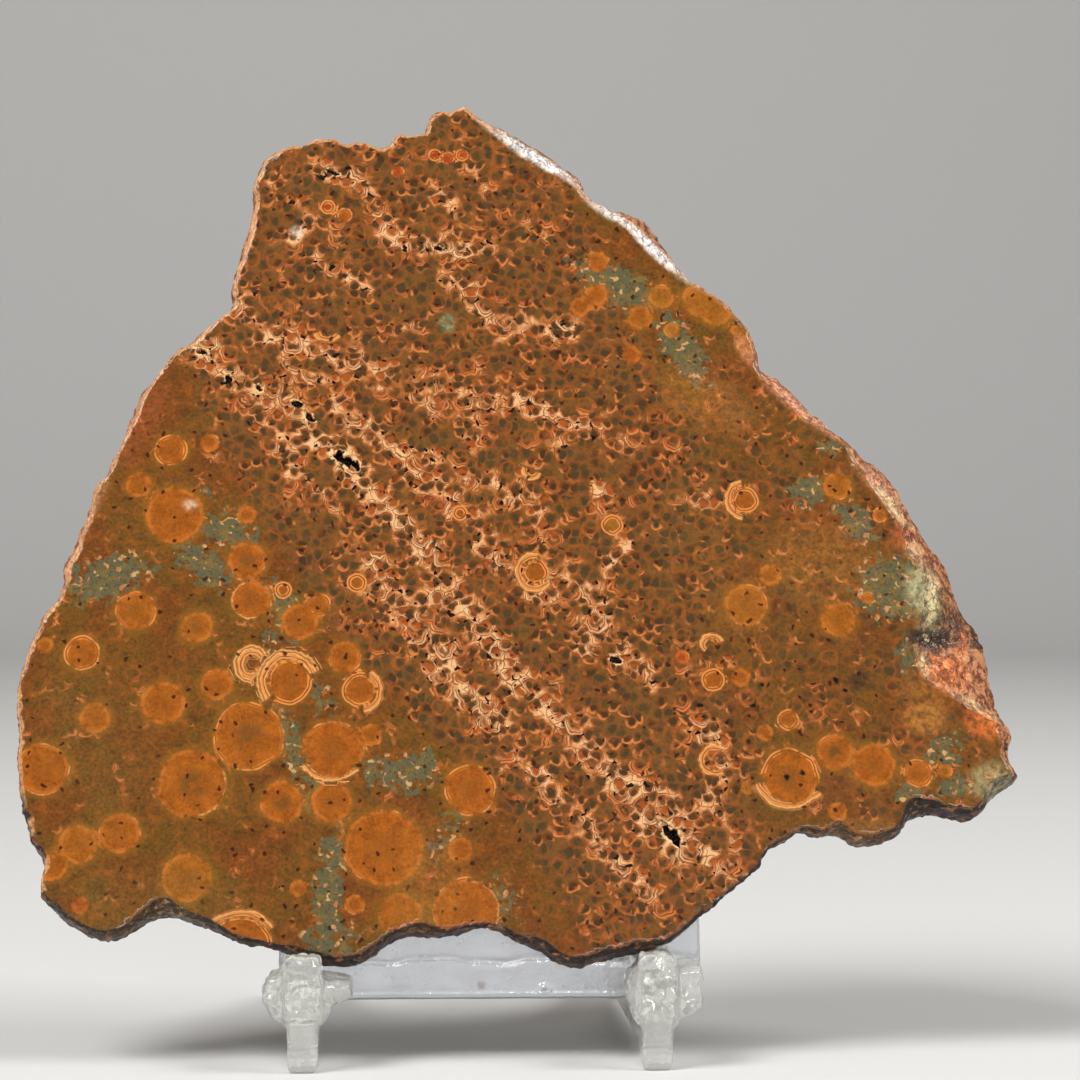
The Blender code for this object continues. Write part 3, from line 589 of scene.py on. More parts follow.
def measure(mesh, outline, pits):
    """Writes the soft masks that steer the stone's markings to the mesh's points."""
    points = points_of(mesh)
    flat = points[:, (0, 2)]
    across, up = flat.T
    depth = points[:, 1]
    through = np.clip(depth / THICKNESS, 0, 1)

    seam = np.zeros(len(flat))
    for line, half, strength in SEAMS:
        far = line_distance(flat, np.array([on_face(*p) for p in line])) / (half * PIXEL)
        seam = np.maximum(seam, strength * np.exp(-0.55 * far * far))
    band = np.array([on_face(*p) for p in BAND])
    closed = np.vstack([band, band[:1]])
    into_band = np.where(inside(band, flat), 1, -1) * line_distance(flat, closed)
    crowd = np.maximum(ease(into_band, -3.5, 3.5), 0.5 * ease(across, 18, 26))
    teal = np.zeros(len(flat))
    for *ellipse, strength in TEAL:
        teal = np.maximum(teal, strength * (1 - ease(ellipse_share(flat, *ellipse), 0.4, 2.1)))

    along = np.roll(outline, -1, 0) - np.roll(outline, 1, 0)
    turned = np.sign(np.sum(outline[:, 0] * np.roll(outline[:, 1], -1)
                            - np.roll(outline[:, 0], -1) * outline[:, 1]))
    rise = -turned * along[:, 0] / np.hypot(*along.T)
    near, far = nearest(outline, flat)
    on_rim = (depth > 0.02) & (depth < THICKNESS - 0.01) & (~inside(outline, flat) | (far < 1.2))
    edge = np.where(on_rim, -np.clip(np.hypot(depth, far), 0, 6), np.clip(far, 0, 6))

    # Stains and their amount, with painted hollow shade and partly painted glints among them
    stain = np.zeros((len(flat), 4))
    for *ellipse, strength, colour in STAINS_AND_PAINTED_LIGHT:
        amount = strength * (1 - ease(ellipse_share(flat, *ellipse), 0.45, 1.25))
        if colour == "white rind":
            amount *= 1 - ease(edge, 0.3, 0.9)
        share = np.where(stain[:, 3] > 0, amount, amount > 0)[:, None]
        stain[:, :3] += (np.array(linear(COLOURS[colour])) - stain[:, :3]) * share
        stain[:, 3] = np.maximum(stain[:, 3], amount)
    # dot: painted shade of the tiny pits and of the open pits' deep parts, and below zero a pale chalky
    # ring round each open pit
    dot = np.zeros(len(flat))
    for x, y, radius, darkness in PIT_SHADE_DOTS:
        amount = darkness * (1 - ease(ellipse_share(flat, x, y, radius, radius), 0.5, 1.4))
        dot = np.maximum(dot, amount * (through < 0.5))

    # Painted shade on the deep parts of each open pit, a pale chalky ring round it, and seams crowding
    # to it
    for pit in pits:
        reach = pit_share(flat, pit)
        close = (reach < 2.4) & (through < 0.3)
        dot[close] = -(1 - ease(reach[close], 1.0, 1.7))
        deep = close & (depth > 0.12)
        dot[deep] = ease(depth[deep], 0.12, 0.45)
        seam[close] = np.maximum(seam[close], 1 - ease(reach[close], 1.4, 2.4))

    eye, tone, inset, fill = measure_eyes(flat, through)
    skewed = np.column_stack((across + 0.4 * depth, up - 0.3 * depth, depth))
    for name, columns in (("place", skewed), ("eye", eye), ("eye_tone", tone),
                          ("zone", np.column_stack((seam, crowd, teal))),
                          ("edge", np.column_stack((edge, dot, rise[near]))),
                          ("inset", np.column_stack((inset, fill, stain[:, 3]))),
                          ("stain", stain[:, :3])):
        layer = mesh.attributes.new(name, "FLOAT_VECTOR", "POINT")
        layer.data.foreach_set("vector", columns.astype(np.float32).ravel())


def unfold(mesh, outline):
    """A map for baking: the face large, the back beside it, the rim in strips below."""
    face_left, face_foot, face_size = 0.01, 0.39, 0.0051
    back_left, back_foot, back_size = 0.69, 0.65, 0.0026
    strip_left, strip_foot, strip_size = 0.012, 0.01, 0.0047
    strips, strip_step, strip_length, spare = 4, 0.083, 0.97, 1.04
    walk = np.hypot(*(np.roll(outline, -1, 0) - outline).T)
    start = np.concatenate([[0], np.cumsum(walk)[:-1]])
    around = walk.sum()
    per_strip = around / strips
    scale = strip_length / (per_strip * spare)
    points = points_of(mesh)
    low = points.min(0)
    near, far = nearest(outline, points[:, (0, 2)])
    covered = inside(outline, points[:, (0, 2)])
    corner = np.empty(len(mesh.loops), np.int32)
    mesh.loops.foreach_get("vertex_index", corner)
    layer = mesh.uv_layers.new(name="OFBake")
    places = np.zeros((len(mesh.loops), 2))
    for polygon in mesh.polygons:
        loops = list(polygon.loop_indices)
        verts = corner[loops]
        across, depth, up = points[verts].T
        in_pit = (far[verts] > 1.0).all() and covered[verts].all()
        if (depth > THICKNESS - 0.01).all():
            places[loops, 0] = back_left + (up - low[2]) * back_size
            places[loops, 1] = back_foot + (across - low[0]) * back_size
        elif (depth < 0.02).all() or in_pit:
            places[loops, 0] = face_left + (across - low[0]) * face_size
            places[loops, 1] = face_foot + (up - low[2]) * face_size
        else:
            along = start[near[verts]]
            if along.max() - along.min() > around / 2:
                along = np.where(along < around / 2, along + around, along)
            strip = min(int(along.mean() / per_strip), strips - 1)
            height = np.hypot(depth, far[verts] * 0.3)
            places[loops, 0] = strip_left + (along - strip * per_strip) * scale
            places[loops, 1] = strip_foot + strip * strip_step + height * strip_size
    layer.data.foreach_set("uv", places.astype(np.float32).ravel())


class Paint:
    """Short names for the steps that a material's looks are worked out in."""

    def __init__(self, name, roughness):
        self.material = bpy.data.materials.new(name)
        self.material.use_nodes = True
        self.tree = self.material.node_tree
        self.surface = self.tree.nodes["Principled BSDF"]
        self.set("Roughness", roughness)

    def node(self, kind, values=(), **settings):
        made = self.tree.nodes.new(kind)
        for key, value in settings.items():
            setattr(made, key, value)
        for key, value in dict(values).items():
            self.put(made.inputs[key], value)
        return made

    def put(self, socket, value):
        if isinstance(value, bpy.types.NodeSocket):
            self.tree.links.new(value, socket)
        elif socket.type == "RGBA":
            light = linear(COLOURS[value]) if isinstance(value, str) else value
            socket.default_value = (*light, 1)
        else:
            socket.default_value = value

    def set(self, name, value):
        self.put(self.surface.inputs[name], value)

    def math(self, operation, a, b=0.0):
        return self.node("ShaderNodeMath", {0: a, 1: b}, operation=operation).outputs[0]

    def vector(self, operation, a, b=(0, 0, 0)):
        return self.node("ShaderNodeVectorMath", {0: a, 1: b}, operation=operation).outputs[0]

    def times(self, *shares):
        product = shares[0]
        for share in shares[1:]:
            product = self.math("MULTIPLY", product, share)
        return product

    def add(self, a, b):
        return self.math("ADD", a, b)

    def less(self, a, b):
        return self.math("SUBTRACT", a, b)

    def rest(self, share):
        return self.less(1.0, share)

    def swing(self, value, amount):
        """An amount times how far a value lies above a half."""
        return self.times(self.less(value, 0.5), amount)

    def most(self, a, b):
        return self.math("MAXIMUM", a, b)

    def length(self, a):
        return self.node("ShaderNodeVectorMath", {0: a}, operation="LENGTH").outputs["Value"]

    def fade(self, value, low, high, start=0.0, end=1.0):
        """Start below low, end above high, eased between; low may be above high."""
        if low > high:
            low, high, start, end = high, low, end, start
        return self.node("ShaderNodeMapRange", {"Value": value, "From Min": low, "From Max": high,
                                                "To Min": start, "To Max": end},
                         interpolation_type="SMOOTHSTEP").outputs[0]

    def ring(self, value, middle, half):
        """1 where a value is near a middle, 0 past half a width from it."""
        off = self.math("ABSOLUTE", self.less(value, middle))
        return self.fade(off, half, half * 0.45)

    def mix(self, a, b, share):
        """A share of b over a, each a colour or a colour's name."""
        return self.node("ShaderNodeMix", {0: share, 6: a, 7: b}, data_type="RGBA").outputs[2]

    def shade(self, colour, amount):
        """A colour made darker or lighter by an amount around 1."""
        return self.node("ShaderNodeVectorMath", {0: colour, "Scale": amount},
                         operation="SCALE").outputs[0]

    def finish(self, strength, distance, height):
        """The material, once a relief of a height up to a distance in mm is laid on it."""
        bump = self.node("ShaderNodeBump", {"Strength": strength, "Distance": distance * MM,
                                            "Height": height})
        self.set("Normal", bump.outputs[0])
        return self.material

    def measured(self, name):
        """The three values of a mask on the mesh, and the mask whole."""
        whole = self.node("ShaderNodeAttribute", attribute_name=name).outputs["Vector"]
        parts = self.node("ShaderNodeSeparateXYZ", {0: whole}).outputs
        return parts[0], parts[1], parts[2], whole

    def clouds(self, place, size, detail, roughness):
        values = {"Vector": self.shade(place, 1 / size), "Scale": 1.0, "Detail": detail,
                  "Roughness": roughness}
        return self.node("ShaderNodeTexNoise", values).outputs

    def noise(self, place, size, detail, roughness):
        """Soft clouds of about a size in mm, 0 to 1, finer with more detail."""
        return self.clouds(place, size, detail, roughness)[0]

    def warp(self, place, size, shift):
        """A place shifted by clouds of about a size."""
        centred = self.vector("SUBTRACT", self.clouds(place, size, 0.0, 0.5)[1], (0.5, 0.5, 0.5))
        return self.vector("ADD", place, self.shade(centred, shift))

    def cells(self, place, size, feature="F1"):
        """Cells round scattered middles: distance, chance number and the way up from the middle,
        or the distance from the nearest wall alone."""
        there = self.shade(place, 1 / size)
        made = self.node("ShaderNodeTexVoronoi", {"Vector": there, "Scale": 1.0}, feature=feature,
                         voronoi_dimensions="2D")
        if feature == "DISTANCE_TO_EDGE":
            return made.outputs[0]
        off = self.vector("SUBTRACT", there, made.outputs["Position"])
        parts = self.node("ShaderNodeSeparateXYZ", {0: off}).outputs
        rise = self.math("DIVIDE", parts[1], self.add(made.outputs[0], 0.001))
        chance = self.node("ShaderNodeSeparateColor", {0: made.outputs[1]}).outputs[0]
        return made.outputs[0], chance, rise


def paint_stone(settings):
    """The rhyolite: mottled matrix, small orbs, pale arcs and seams, eyes, grey-green patches,
    specks and the rind."""
    p = Paint("rhyolite", 0.3)
    p.set("Specular IOR Level", 0.36)
    across, _, _, place = p.measured("place")
    seam, crowd, teal, _ = p.measured("zone")
    edge, dot, rise_of_edge, _ = p.measured("edge")
    inset, fill, stain_and_painted_light_amount, _ = p.measured("inset")
    curled = p.warp(place, 2.6, 1.0)
    warped = p.warp(curled, 0.95, 0.5)
    bent = p.warp(place, 0.9, 0.8)
    cloud = p.noise(place, 9.0, 1.0, 0.6)
    broad = p.noise(place, 5.0, 1.0, 0.6)
    mottle = p.noise(place, 1.7, 2.0, 0.6)
    fine = p.noise(place, 0.45, 2.0, 0.65)

    # The matrix
    colour = p.mix(tuple(settings.matrix), "brown earth", p.fade(cloud, 0.38, 0.58))
    colour = p.mix(colour, "light mottling", p.fade(mottle, 0.5, 0.7, 0.0, 0.6))
    colour = p.mix(colour, "dark mottling", p.fade(mottle, 0.46, 0.3, 0.0, 0.6))
    plenty = p.fade(p.add(crowd, p.swing(broad, 0.9)), 0.25, 0.75)
    colour = p.mix(colour, "band ground", p.times(plenty, 0.5))
    colour = p.shade(colour, p.fade(fine, 0.25, 0.75, 0.76, 1.24))

    # Small orbs: olive middles, each in a thin dark ring and a wider lighter one
    cell = settings.orb_cell / MM
    orb, chance, rise = p.cells(warped, cell)
    wall = p.cells(warped, cell, "DISTANCE_TO_EDGE")
    middles = p.times(p.fade(orb, 0.45, 0.25), p.add(p.times(plenty, 0.74), 0.06),
                      p.fade(chance, 0.0, 0.5, 0.3, 1.0))
    colour = p.mix(colour, "orb wall", p.times(p.fade(wall, 0.2, 0.05), plenty, 0.36))
    russet = p.times(p.ring(orb, 0.46, 0.09), plenty, p.fade(chance, 0.3, 0.7))
    colour = p.mix(colour, "russet ring", p.times(russet, 0.75))
    tones = p.mix(tuple(settings.olive), "dark orb", p.fade(chance, 0.5, 0.9))
    colour = p.mix(colour, tones, middles)

    # Seams: the walls between the orbs turn pale, most of all under each orb, and beside the
    # seams a few orbs carry a pale arc alone
    drift = p.noise(p.warp(place, 6.0, 4.0), 3.0, 2.0, 0.55)
    here = p.add(p.times(seam, 0.95), p.swing(drift, 2.2))
    here = p.add(p.add(here, p.swing(mottle, 0.5)), p.times(plenty, 0.1))
    core = p.fade(here, 0.3, 0.75)
    some = p.times(p.fade(p.add(here, p.times(plenty, 0.15)), 0.1, 0.5), p.fade(chance, 0.5, 0.6))
    big, big_chance, big_rise = p.cells(bent, 2.8)
    faint = p.times(p.ring(big, 0.36, 0.1), p.fade(big_chance, 0.4, 0.6),
                    p.fade(plenty, 0.0, 1.0, 0.22, 0.5))
    colour = p.mix(colour, "faint ring", faint)
    ground = p.times(p.fade(here, 0.2, 0.8), p.fade(mottle, 0.4, 0.6), 0.6)
    colour = p.mix(colour, "seam ground", ground)
    filled = p.times(p.fade(orb, 0.42, 0.28), p.fade(here, 0.3, 0.5), p.fade(chance, 0.76, 0.8))
    colour = p.mix(colour, "filled orb", p.times(filled, 0.7))
    holes = p.times(p.fade(orb, 0.4, 0.2), core, p.fade(chance, 0.66, 0.5))
    colour = p.mix(colour, "orb hole", p.times(holes, 0.8))

    under = p.fade(rise, 0.5, -0.2)
    chosen = p.times(p.fade(big_rise, 0.7, 0.0), p.fade(big_chance, 0.5, 0.54), p.most(core, some))
    loops = p.times(p.ring(big, 0.4, 0.16), chosen)
    clear = p.rest(p.times(p.ring(big, 0.36, 0.34), chosen))
    swell = p.swing(p.noise(place, 1.1, 1.0, 0.6), 0.36)
    girth = p.less(p.add(orb, swell), p.fade(under, 0.0, 1.0, 0.17, 0.0))
    between = p.rest(p.times(p.fade(wall, 0.07, 0.02), p.fade(chance, 0.2, 0.5)))
    walls = p.times(p.fade(girth, 0.33, 0.4), core, clear, between)
    arcs = p.times(p.ring(orb, 0.42, 0.17), under, some, clear)
    pale = p.most(p.most(arcs, loops), walls)
    inner = p.times(p.ring(girth, 0.34, 0.06), core, clear)
    inner = p.most(inner, p.times(p.ring(orb, 0.34, 0.06), under, some, clear))
    inner = p.most(inner, p.times(p.ring(big, 0.31, 0.05), chosen))
    bright = p.fade(p.add(here, p.swing(fine, 1.2)), 0.4, 1.1)
    peach = p.mix("peach", tuple(settings.cream), bright)
    colour = p.mix(colour, peach, p.times(pale, 0.95))
    threads = p.most(p.times(p.ring(big, 0.4, 0.045), loops), p.times(p.ring(girth, 0.44, 0.04), walls))
    colour = p.mix(colour, "red thread", p.most(p.times(threads, 0.8), p.times(inner, 0.45)))
    # Painted shade: tiny vugs along the seams are painted near black, with no hollow in the mesh
    vug_shade = p.times(p.fade(p.noise(bent, 0.95, 1.0, 0.4), 0.34, 0.3), p.fade(here, 0.3, 0.6))
    colour = p.mix(colour, "cavity", vug_shade)

    colour = paint_green(p, settings, colour, curled, bent, teal, mottle, fine)
    colour = paint_eyes(p, settings, colour, inset, fill, mottle, fine)

    # Small dark specks, sparse everywhere
    speck, speck_chance, _ = p.cells(bent, 2.0)
    chosen = p.fade(p.add(speck_chance, p.times(broad, 0.8)), 1.06, 1.1)
    specks = p.times(p.fade(speck, 0.16, 0.09), chosen)
    colour = p.mix(colour, "speck", p.times(specks, 0.9))
    chalk = p.times(p.fade(dot, -0.2, -0.7), p.fade(p.noise(place, 0.8, 1.0, 0.6), 0.45, 0.56))
    colour = p.mix(colour, "chalk", chalk)
    # Painted shade: the tiny pits' dots and the deep parts of the open pits turn near black
    colour = p.mix(colour, "pit black", p.fade(dot, 0.1, 0.7))
    rim, colour = paint_rind(p, colour, bent, across, edge, rise_of_edge, stain_and_painted_light_amount, mottle,
                             fine)

    polish = p.mix(tuple(settings.polish), (1, 1, 1), p.most(p.times(rim, 0.7), stain_and_painted_light_amount))
    p.set("Base Color", p.vector("MULTIPLY", colour, polish))
    worn = p.fade(p.add(rim, p.times(fine, 0.25)), 0.0, 1.2, 0.22, 0.42)
    glazed = p.times(stain_and_painted_light_amount, p.fade(edge, 0.3, -0.3, 0.0, 0.28))
    p.set("Roughness", p.less(worn, glazed))
    grain = p.noise(place, 0.8, 2.0, 0.7)
    height = p.times(grain, p.fade(edge, 0.05, -0.2, 0.01, 1.0))
    return p.finish(0.8, 0.5, height)


def paint_green(p, settings, colour, curled, bent, teal, mottle, fine):
    """Grey-green patches that run between the eyes, with pale flecks and brown islands."""
    veins = p.noise(curled, 1.3, 2.0, 0.65)
    green = p.times(p.fade(p.add(teal, p.swing(veins, 2.8)), 0.4, 0.62), p.fade(teal, 0.0, 0.12))
    tint = p.mix(tuple(settings.teal), "sage", p.fade(mottle, 0.45, 0.65))
    tint = p.mix(tint, "dark green", p.fade(fine, 0.48, 0.34, 0.0, 0.7))
    colour = p.mix(colour, tint, p.times(green, 0.78))
    fleck = p.noise(bent, 1.0, 1.0, 0.5)
    flecks = p.times(p.fade(fleck, 0.61, 0.67), p.fade(teal, 0.1, 0.4))
    flecked = p.mix("brown fleck", "pale fleck", p.fade(mottle, 0.45, 0.55))
    return p.mix(colour, flecked, p.times(flecks, 0.85))


def paint_eyes(p, settings, colour, inset, fill, mottle, fine):
    """The orange eyes: a yellowish halo, a disc of fine rays and rings, and a cream rim."""
    dx, dz, radius, _ = p.measured("eye")
    cream, dark, red, _ = p.measured("eye_tone")
    off = p.node("ShaderNodeCombineXYZ", {0: dx, 1: dz, 2: 0.0}).outputs[0]
    far = p.length(off)
    way = p.vector("NORMALIZE", off)
    anchor = p.node("ShaderNodeCombineXYZ", {0: 0.0, 1: 0.0, 2: p.times(radius, 7.3)}).outputs[0]
    way = p.vector("ADD", way, anchor)
    lumps = p.swing(p.noise(way, 0.8, 1.0, 0.5), 0.22)
    rays = p.noise(p.vector("ADD", way, p.shade(off, 1 / 9.0)), 0.1, 1.0, 0.6)
    size = p.times(radius, p.add(lumps, 1.0))
    depth = p.math("MINIMUM", p.less(size, far), p.add(inset, 0.3))
    share = p.math("DIVIDE", far, size)
    fringe = p.times(p.less(p.add(rays, fine), 1.0), 0.5)
    body = p.times(p.fade(p.add(depth, fringe), -0.1, 0.16), fill)
    disc = p.mix("ochre eye", tuple(settings.orange), p.fade(red, 0.0, 0.5))
    disc = p.mix(disc, "red eye", p.fade(red, 0.55, 1.0))
    wavy = p.add(p.add(depth, p.times(mottle, 1.1)), p.times(fine, 0.3))
    rings = p.times(p.math("SINE", p.times(wavy, 13.0)), 0.035)
    grain = p.add(p.fade(rays, 0.3, 0.7, 0.26, 0.46), p.fade(mottle, 0.3, 0.7, 0.2, 0.6))
    disc = p.shade(disc, p.add(rings, p.add(grain, p.fade(fine, 0.3, 0.7, 0.1, 0.36))))
    middle = p.times(p.add(dark, 0.15), p.fade(share, 0.65, 0.15), p.fade(mottle, 0.38, 0.55))
    disc = p.mix(disc, "eye middle", middle)
    brink = p.times(p.ring(depth, 0.3, 0.34), p.fade(mottle, 0.35, 0.6), 0.5)
    disc = p.mix(disc, "eye brink", brink)
    halo = p.times(p.fade(p.add(depth, p.times(mottle, 0.6)), -0.7, 0.3, 0.0, 0.36), fill,
                   p.fade(radius, 1.1, 2.0))
    colour = p.mix(colour, "halo", halo)
    colour = p.mix(colour, disc, p.times(body, 0.92))
    crust = p.add(cream, p.swing(mottle, 1.6))
    lip = p.times(p.ring(depth, 0.08, 0.17), p.fade(crust, 0.35, 0.7))
    second = p.times(p.ring(depth, 0.45, 0.13), p.fade(crust, 0.6, 0.95))
    frayed = p.add(depth, p.swing(mottle, 0.8))
    width = p.add(dark, 0.6)
    band = p.times(p.ring(p.math("DIVIDE", frayed, width), 0.0, 0.8), p.fade(fill, 0.5, 0.2),
                   p.fade(cream, 0.3, 0.7))
    banded = p.mix("arc shade", "arc light", p.fade(rings, -0.03, 0.04))
    colour = p.mix(colour, banded, p.times(band, 0.9))
    colour = p.mix(colour, "eye rim", p.times(p.most(lip, second), 0.9))
    thread = p.times(p.ring(depth, 0.26, 0.08), p.fade(crust, 0.4, 0.7))
    return p.mix(colour, "rim thread", p.times(thread, 0.7))


def paint_rind(p, colour, bent, across, edge, rise, stain_and_painted_light_amount, mottle, fine):
    """Stains, the rim's broken stone and the pale crust along the upper edges, with painted light among
    them: shade in the rind's hollows and on the rim's underside, glints on the glaze and on the rim's
    lumps, and a highlight in the crust.
    """
    stain = p.measured("stain")[3]
    rim = p.fade(edge, 0.0, -0.2)
    lumpy = p.noise(bent, 1.1, 2.0, 0.65)
    # Painted shade: where the outline faces down, the rim's broken stone is laid on in full and
    # darkened further towards a near-black underside
    under = p.fade(rise, 0.1, -0.35)
    broken_stone_with_painted_shade = p.mix("broken dark", "broken light", p.fade(lumpy, 0.42, 0.6))
    broken_stone_with_painted_shade = p.mix(broken_stone_with_painted_shade, "underside", p.times(under, p.fade(lumpy, 0.72, 0.5, 0.55, 1.0)))
    colour = p.mix(colour, broken_stone_with_painted_shade, p.times(rim, p.most(under, 0.8)))
    cracks = p.cells(bent, 1.5, "DISTANCE_TO_EDGE")
    uneven = p.add(p.fade(fine, 0.3, 0.7, 0.25, 0.7), p.fade(lumpy, 0.38, 0.62, 0.2, 0.8))
    stains_with_painted_glints = p.shade(stain, uneven)
    stains_with_painted_glints = p.shade(stains_with_painted_glints, p.add(p.times(p.fade(cracks, 0.1, 0.0), rim, -0.65), 1.05))
    # Pale cream on the rim's high lumps: partly pale crystals, partly painted glints
    stains_with_painted_glints = p.mix(stains_with_painted_glints, "cream glint", p.times(p.fade(lumpy, 0.58, 0.66), rim, 0.55))
    reach = p.times(stain_and_painted_light_amount, p.fade(lumpy, 0.3, 0.5, 0.5, 1.0))
    colour = p.mix(colour, stains_with_painted_glints, reach)
    # Pale crust along the upper and side edges, none where the outline faces down: partly natural
    # crust, partly a painted highlight where the edges catch the light
    ragged = p.add(edge, p.swing(mottle, 1.3))
    outer = p.times(p.fade(ragged, 0.36, 0.1), p.fade(edge, -1.3, -0.2), p.fade(rise, -0.45, 0.0))
    bare = p.times(p.fade(across, 12, 24, 1.0, 0.25), p.rest(stain_and_painted_light_amount))
    crust_and_painted_edge_light = p.times(outer, p.fade(fine, 0.3, 0.55, 0.35, 1.0), bare)
    return rim, p.mix(colour, "crust", p.times(crust_and_painted_edge_light, 0.9))


def new_piece(name, bm, material):
    """An object of a mesh, smooth and in one material."""
    mesh = bpy.data.meshes.new(name)
    bm.to_mesh(mesh)
    bm.free()
    mesh.shade_smooth()
    piece = bpy.data.objects.new(name, mesh)
    bpy.context.scene.collection.objects.link(piece)
    mesh.materials.append(material)
    return piece


def remeshed(name, spacing):
    """A fine even mesh of one of the stand's solids, in mm."""
    form = bpy.data.objects.new(name + "_form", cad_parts[name].data.copy())
    bpy.context.scene.collection.objects.link(form)
    modifier = form.modifiers.new("even", "REMESH")
    modifier.mode = "VOXEL"
    modifier.voxel_size = spacing
    bm = bmesh.new()
    bm.from_mesh(form.evaluated_get(bpy.context.evaluated_depsgraph_get()).data)
    bpy.data.objects.remove(form)
    smooth(bm, bm.verts)
    bm.transform(Matrix.Scale(1 / MM, 4))
    bm.normal_update()
    return bm


def add_bubbles(bm, where, count, sizes, rng):
    """Hollow bubbles in the plastic, each at a random place that where(place) likes."""
    tree = bvhtree.BVHTree.FromBMesh(bm)
    low = np.min([v.co[:] for v in bm.verts], 0)
    high = np.max([v.co[:] for v in bm.verts], 0)
    placed = []
    for _ in range(count * 60):
        if len(placed) == count:
            break
        place = Vector(rng.uniform(low, high))
        size = sizes[0] + (sizes[1] - sizes[0]) * rng.random() ** 3
        near, normal, _, far = tree.find_nearest(place)
        buried = (place - near).dot(normal) < 0 and far > size * 1.25 + 0.05
        clear = all((place - other).length > size + other_size + 0.05 for other, other_size in placed)
        if buried and clear and where(place):
            placed.append((place, size))
    for place, size in placed:
        tall = size * rng.uniform(0.8, 1.3)
        shape = Matrix.Translation(place) @ Matrix.Diagonal((size, size, tall, 1))
        made = bmesh.ops.create_icosphere(bm, subdivisions=2, radius=1, matrix=shape)
        faces = {f for v in made["verts"] for f in v.link_faces}
        bmesh.ops.reverse_faces(bm, faces=list(faces))


def leg_piece(name, settings, material, seed):
    """One moulded leg: lumpy boss, slightly wavy sides and bubbles."""
    rng = np.random.default_rng(seed)
    bm = remeshed(name, settings.spacing)
    low, high = (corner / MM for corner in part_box(name))
    boss_back = low.y + 16
    for vert in bm.verts:
        x, y, z = vert.co
        boss = float(ease(y, boss_back, boss_back - 5) * ease(z, 5.5, 7.5) * ease(z, 21, 18))
        side = 0.6 + 0.4 * float(ease(x, high.x - 2, low.x + 1))
        lumps = noise.noise(vert.co * 0.62 + Vector((seed, 0, 0))) + 0.5 * noise.noise(vert.co * 1.5)
        ridges = abs(noise.noise(Vector((x * 1.2, y * 0.5, z * 0.7 + seed)))) - 0.3
        sway = noise.noise(vert.co * 0.25) * 0.05 + noise.noise(vert.co * 1.9) * 0.02 - 0.03
        vert.co += vert.normal * (sway + boss * side * (0.34 * lumps + 0.5 * ridges - 0.1))
    hold_between(bm, low, high)

    def in_boss(place):
        return place.y < boss_back and place.z < 20 or rng.random() < 0.12

    add_bubbles(bm, in_boss, settings.bubbles, (0.07, 0.34), rng)
    bm.transform(Matrix.Scale(MM, 4))
    piece = new_piece("clear_" + name, bm, material)
    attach(piece, "root")
    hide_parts(name)


def plate_piece(settings, material):
    """The back plate: slightly wavy, with a wavy ridge under the slab's edge, a round bubble mark
    and a scatter of fine bubbles."""
    rng = np.random.default_rng(5)
    bm = remeshed("back_plate", settings.spacing)
    low, high = (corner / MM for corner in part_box("back_plate"))
    middle = MIDDLE_LINE.x / MM
    for vert in bm.verts:
        x, y, z = vert.co
        sway = noise.noise(vert.co * 0.16) * 0.08 + noise.noise(vert.co * 0.9) * 0.018 - 0.04
        if vert.normal.y < -0.5:
            line = 12.2 + 0.3 * math.sin(x * 0.42) + 0.12 * math.sin(x * 1.3 + 1)
            sway += 0.16 * math.exp(-((z - line) / 0.28) ** 2)
            mark = math.hypot(x - middle - 0.9, z - 8.3)
            sway -= 0.3 * math.exp(-((mark - 0.55) / 0.22) ** 2)
        vert.co += vert.normal * sway
    hold_between(bm, low, high)
    add_bubbles(bm, lambda place: True, settings.bubbles // 2, (0.06, 0.16), rng)
    bm.transform(Matrix.Scale(MM, 4))
    piece = new_piece("clear_back_plate", bm, material)
    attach(piece, "root")
    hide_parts("back_plate")


def clear_plastic(name, tint, haze, stain_at=None):
    """Moulded clear plastic: see-through, with hazy patches, fine dust and scuffs."""
    p = Paint(name, 0.1)
    place = p.shade(p.node("ShaderNodeTexCoord").outputs["Object"], 1 / MM)
    patches = p.noise(place, 5.0, 3.0, 0.6)
    dust = p.noise(place, 0.5, 3.0, 0.7)
    streaks = p.noise(p.vector("MULTIPLY", place, (1.0, 1.0, 0.15)), 0.7, 3.0, 0.6)
    colour = p.mix(tint, tuple(c * 0.93 for c in tint), p.fade(patches, 0.4, 0.65))
    colour = p.mix(colour, (0.98, 0.98, 0.97), p.times(p.fade(dust, 0.6, 0.75), 0.6))
    if stain_at:
        far = p.length(p.vector("SUBTRACT", place, stain_at))
        colour = p.mix(colour, "plate stain", p.times(p.fade(p.add(far, dust), 1.4, 0.7), 0.8))
    p.set("Base Color", colour)
    scuffs = p.add(p.fade(patches, 0.35, 0.7, 0.03, haze), p.times(p.fade(dust, 0.62, 0.75), 0.25))
    p.set("Roughness", p.add(scuffs, p.times(p.fade(streaks, 0.55, 0.7), 0.1)))
    p.set("Transmission Weight", 0.74)
    p.set("IOR", 1.49)
    return p.finish(0.5, 0.1, p.noise(place, 0.9, 2.0, 0.5))


class STONE_OT_build_slab(bpy.types.Operator):
    """Builds the rhyolite slab in place of its plain solid"""
    bl_idname = "stone.build_slab"
    bl_label = "Build the slab"

    def execute(self, context):
        settings = context.scene.stone
        bm, outline, pits = stone_mesh(settings)
        slab = new_piece("polished_rhyolite", bm, paint_stone(settings))
        measure(slab.data, outline, pits)
        unfold(slab.data, outline)
        slab.data.transform(SLAB_AXES)
        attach(slab, "root")
        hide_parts("rhyolite_slab")
        return {"FINISHED"}


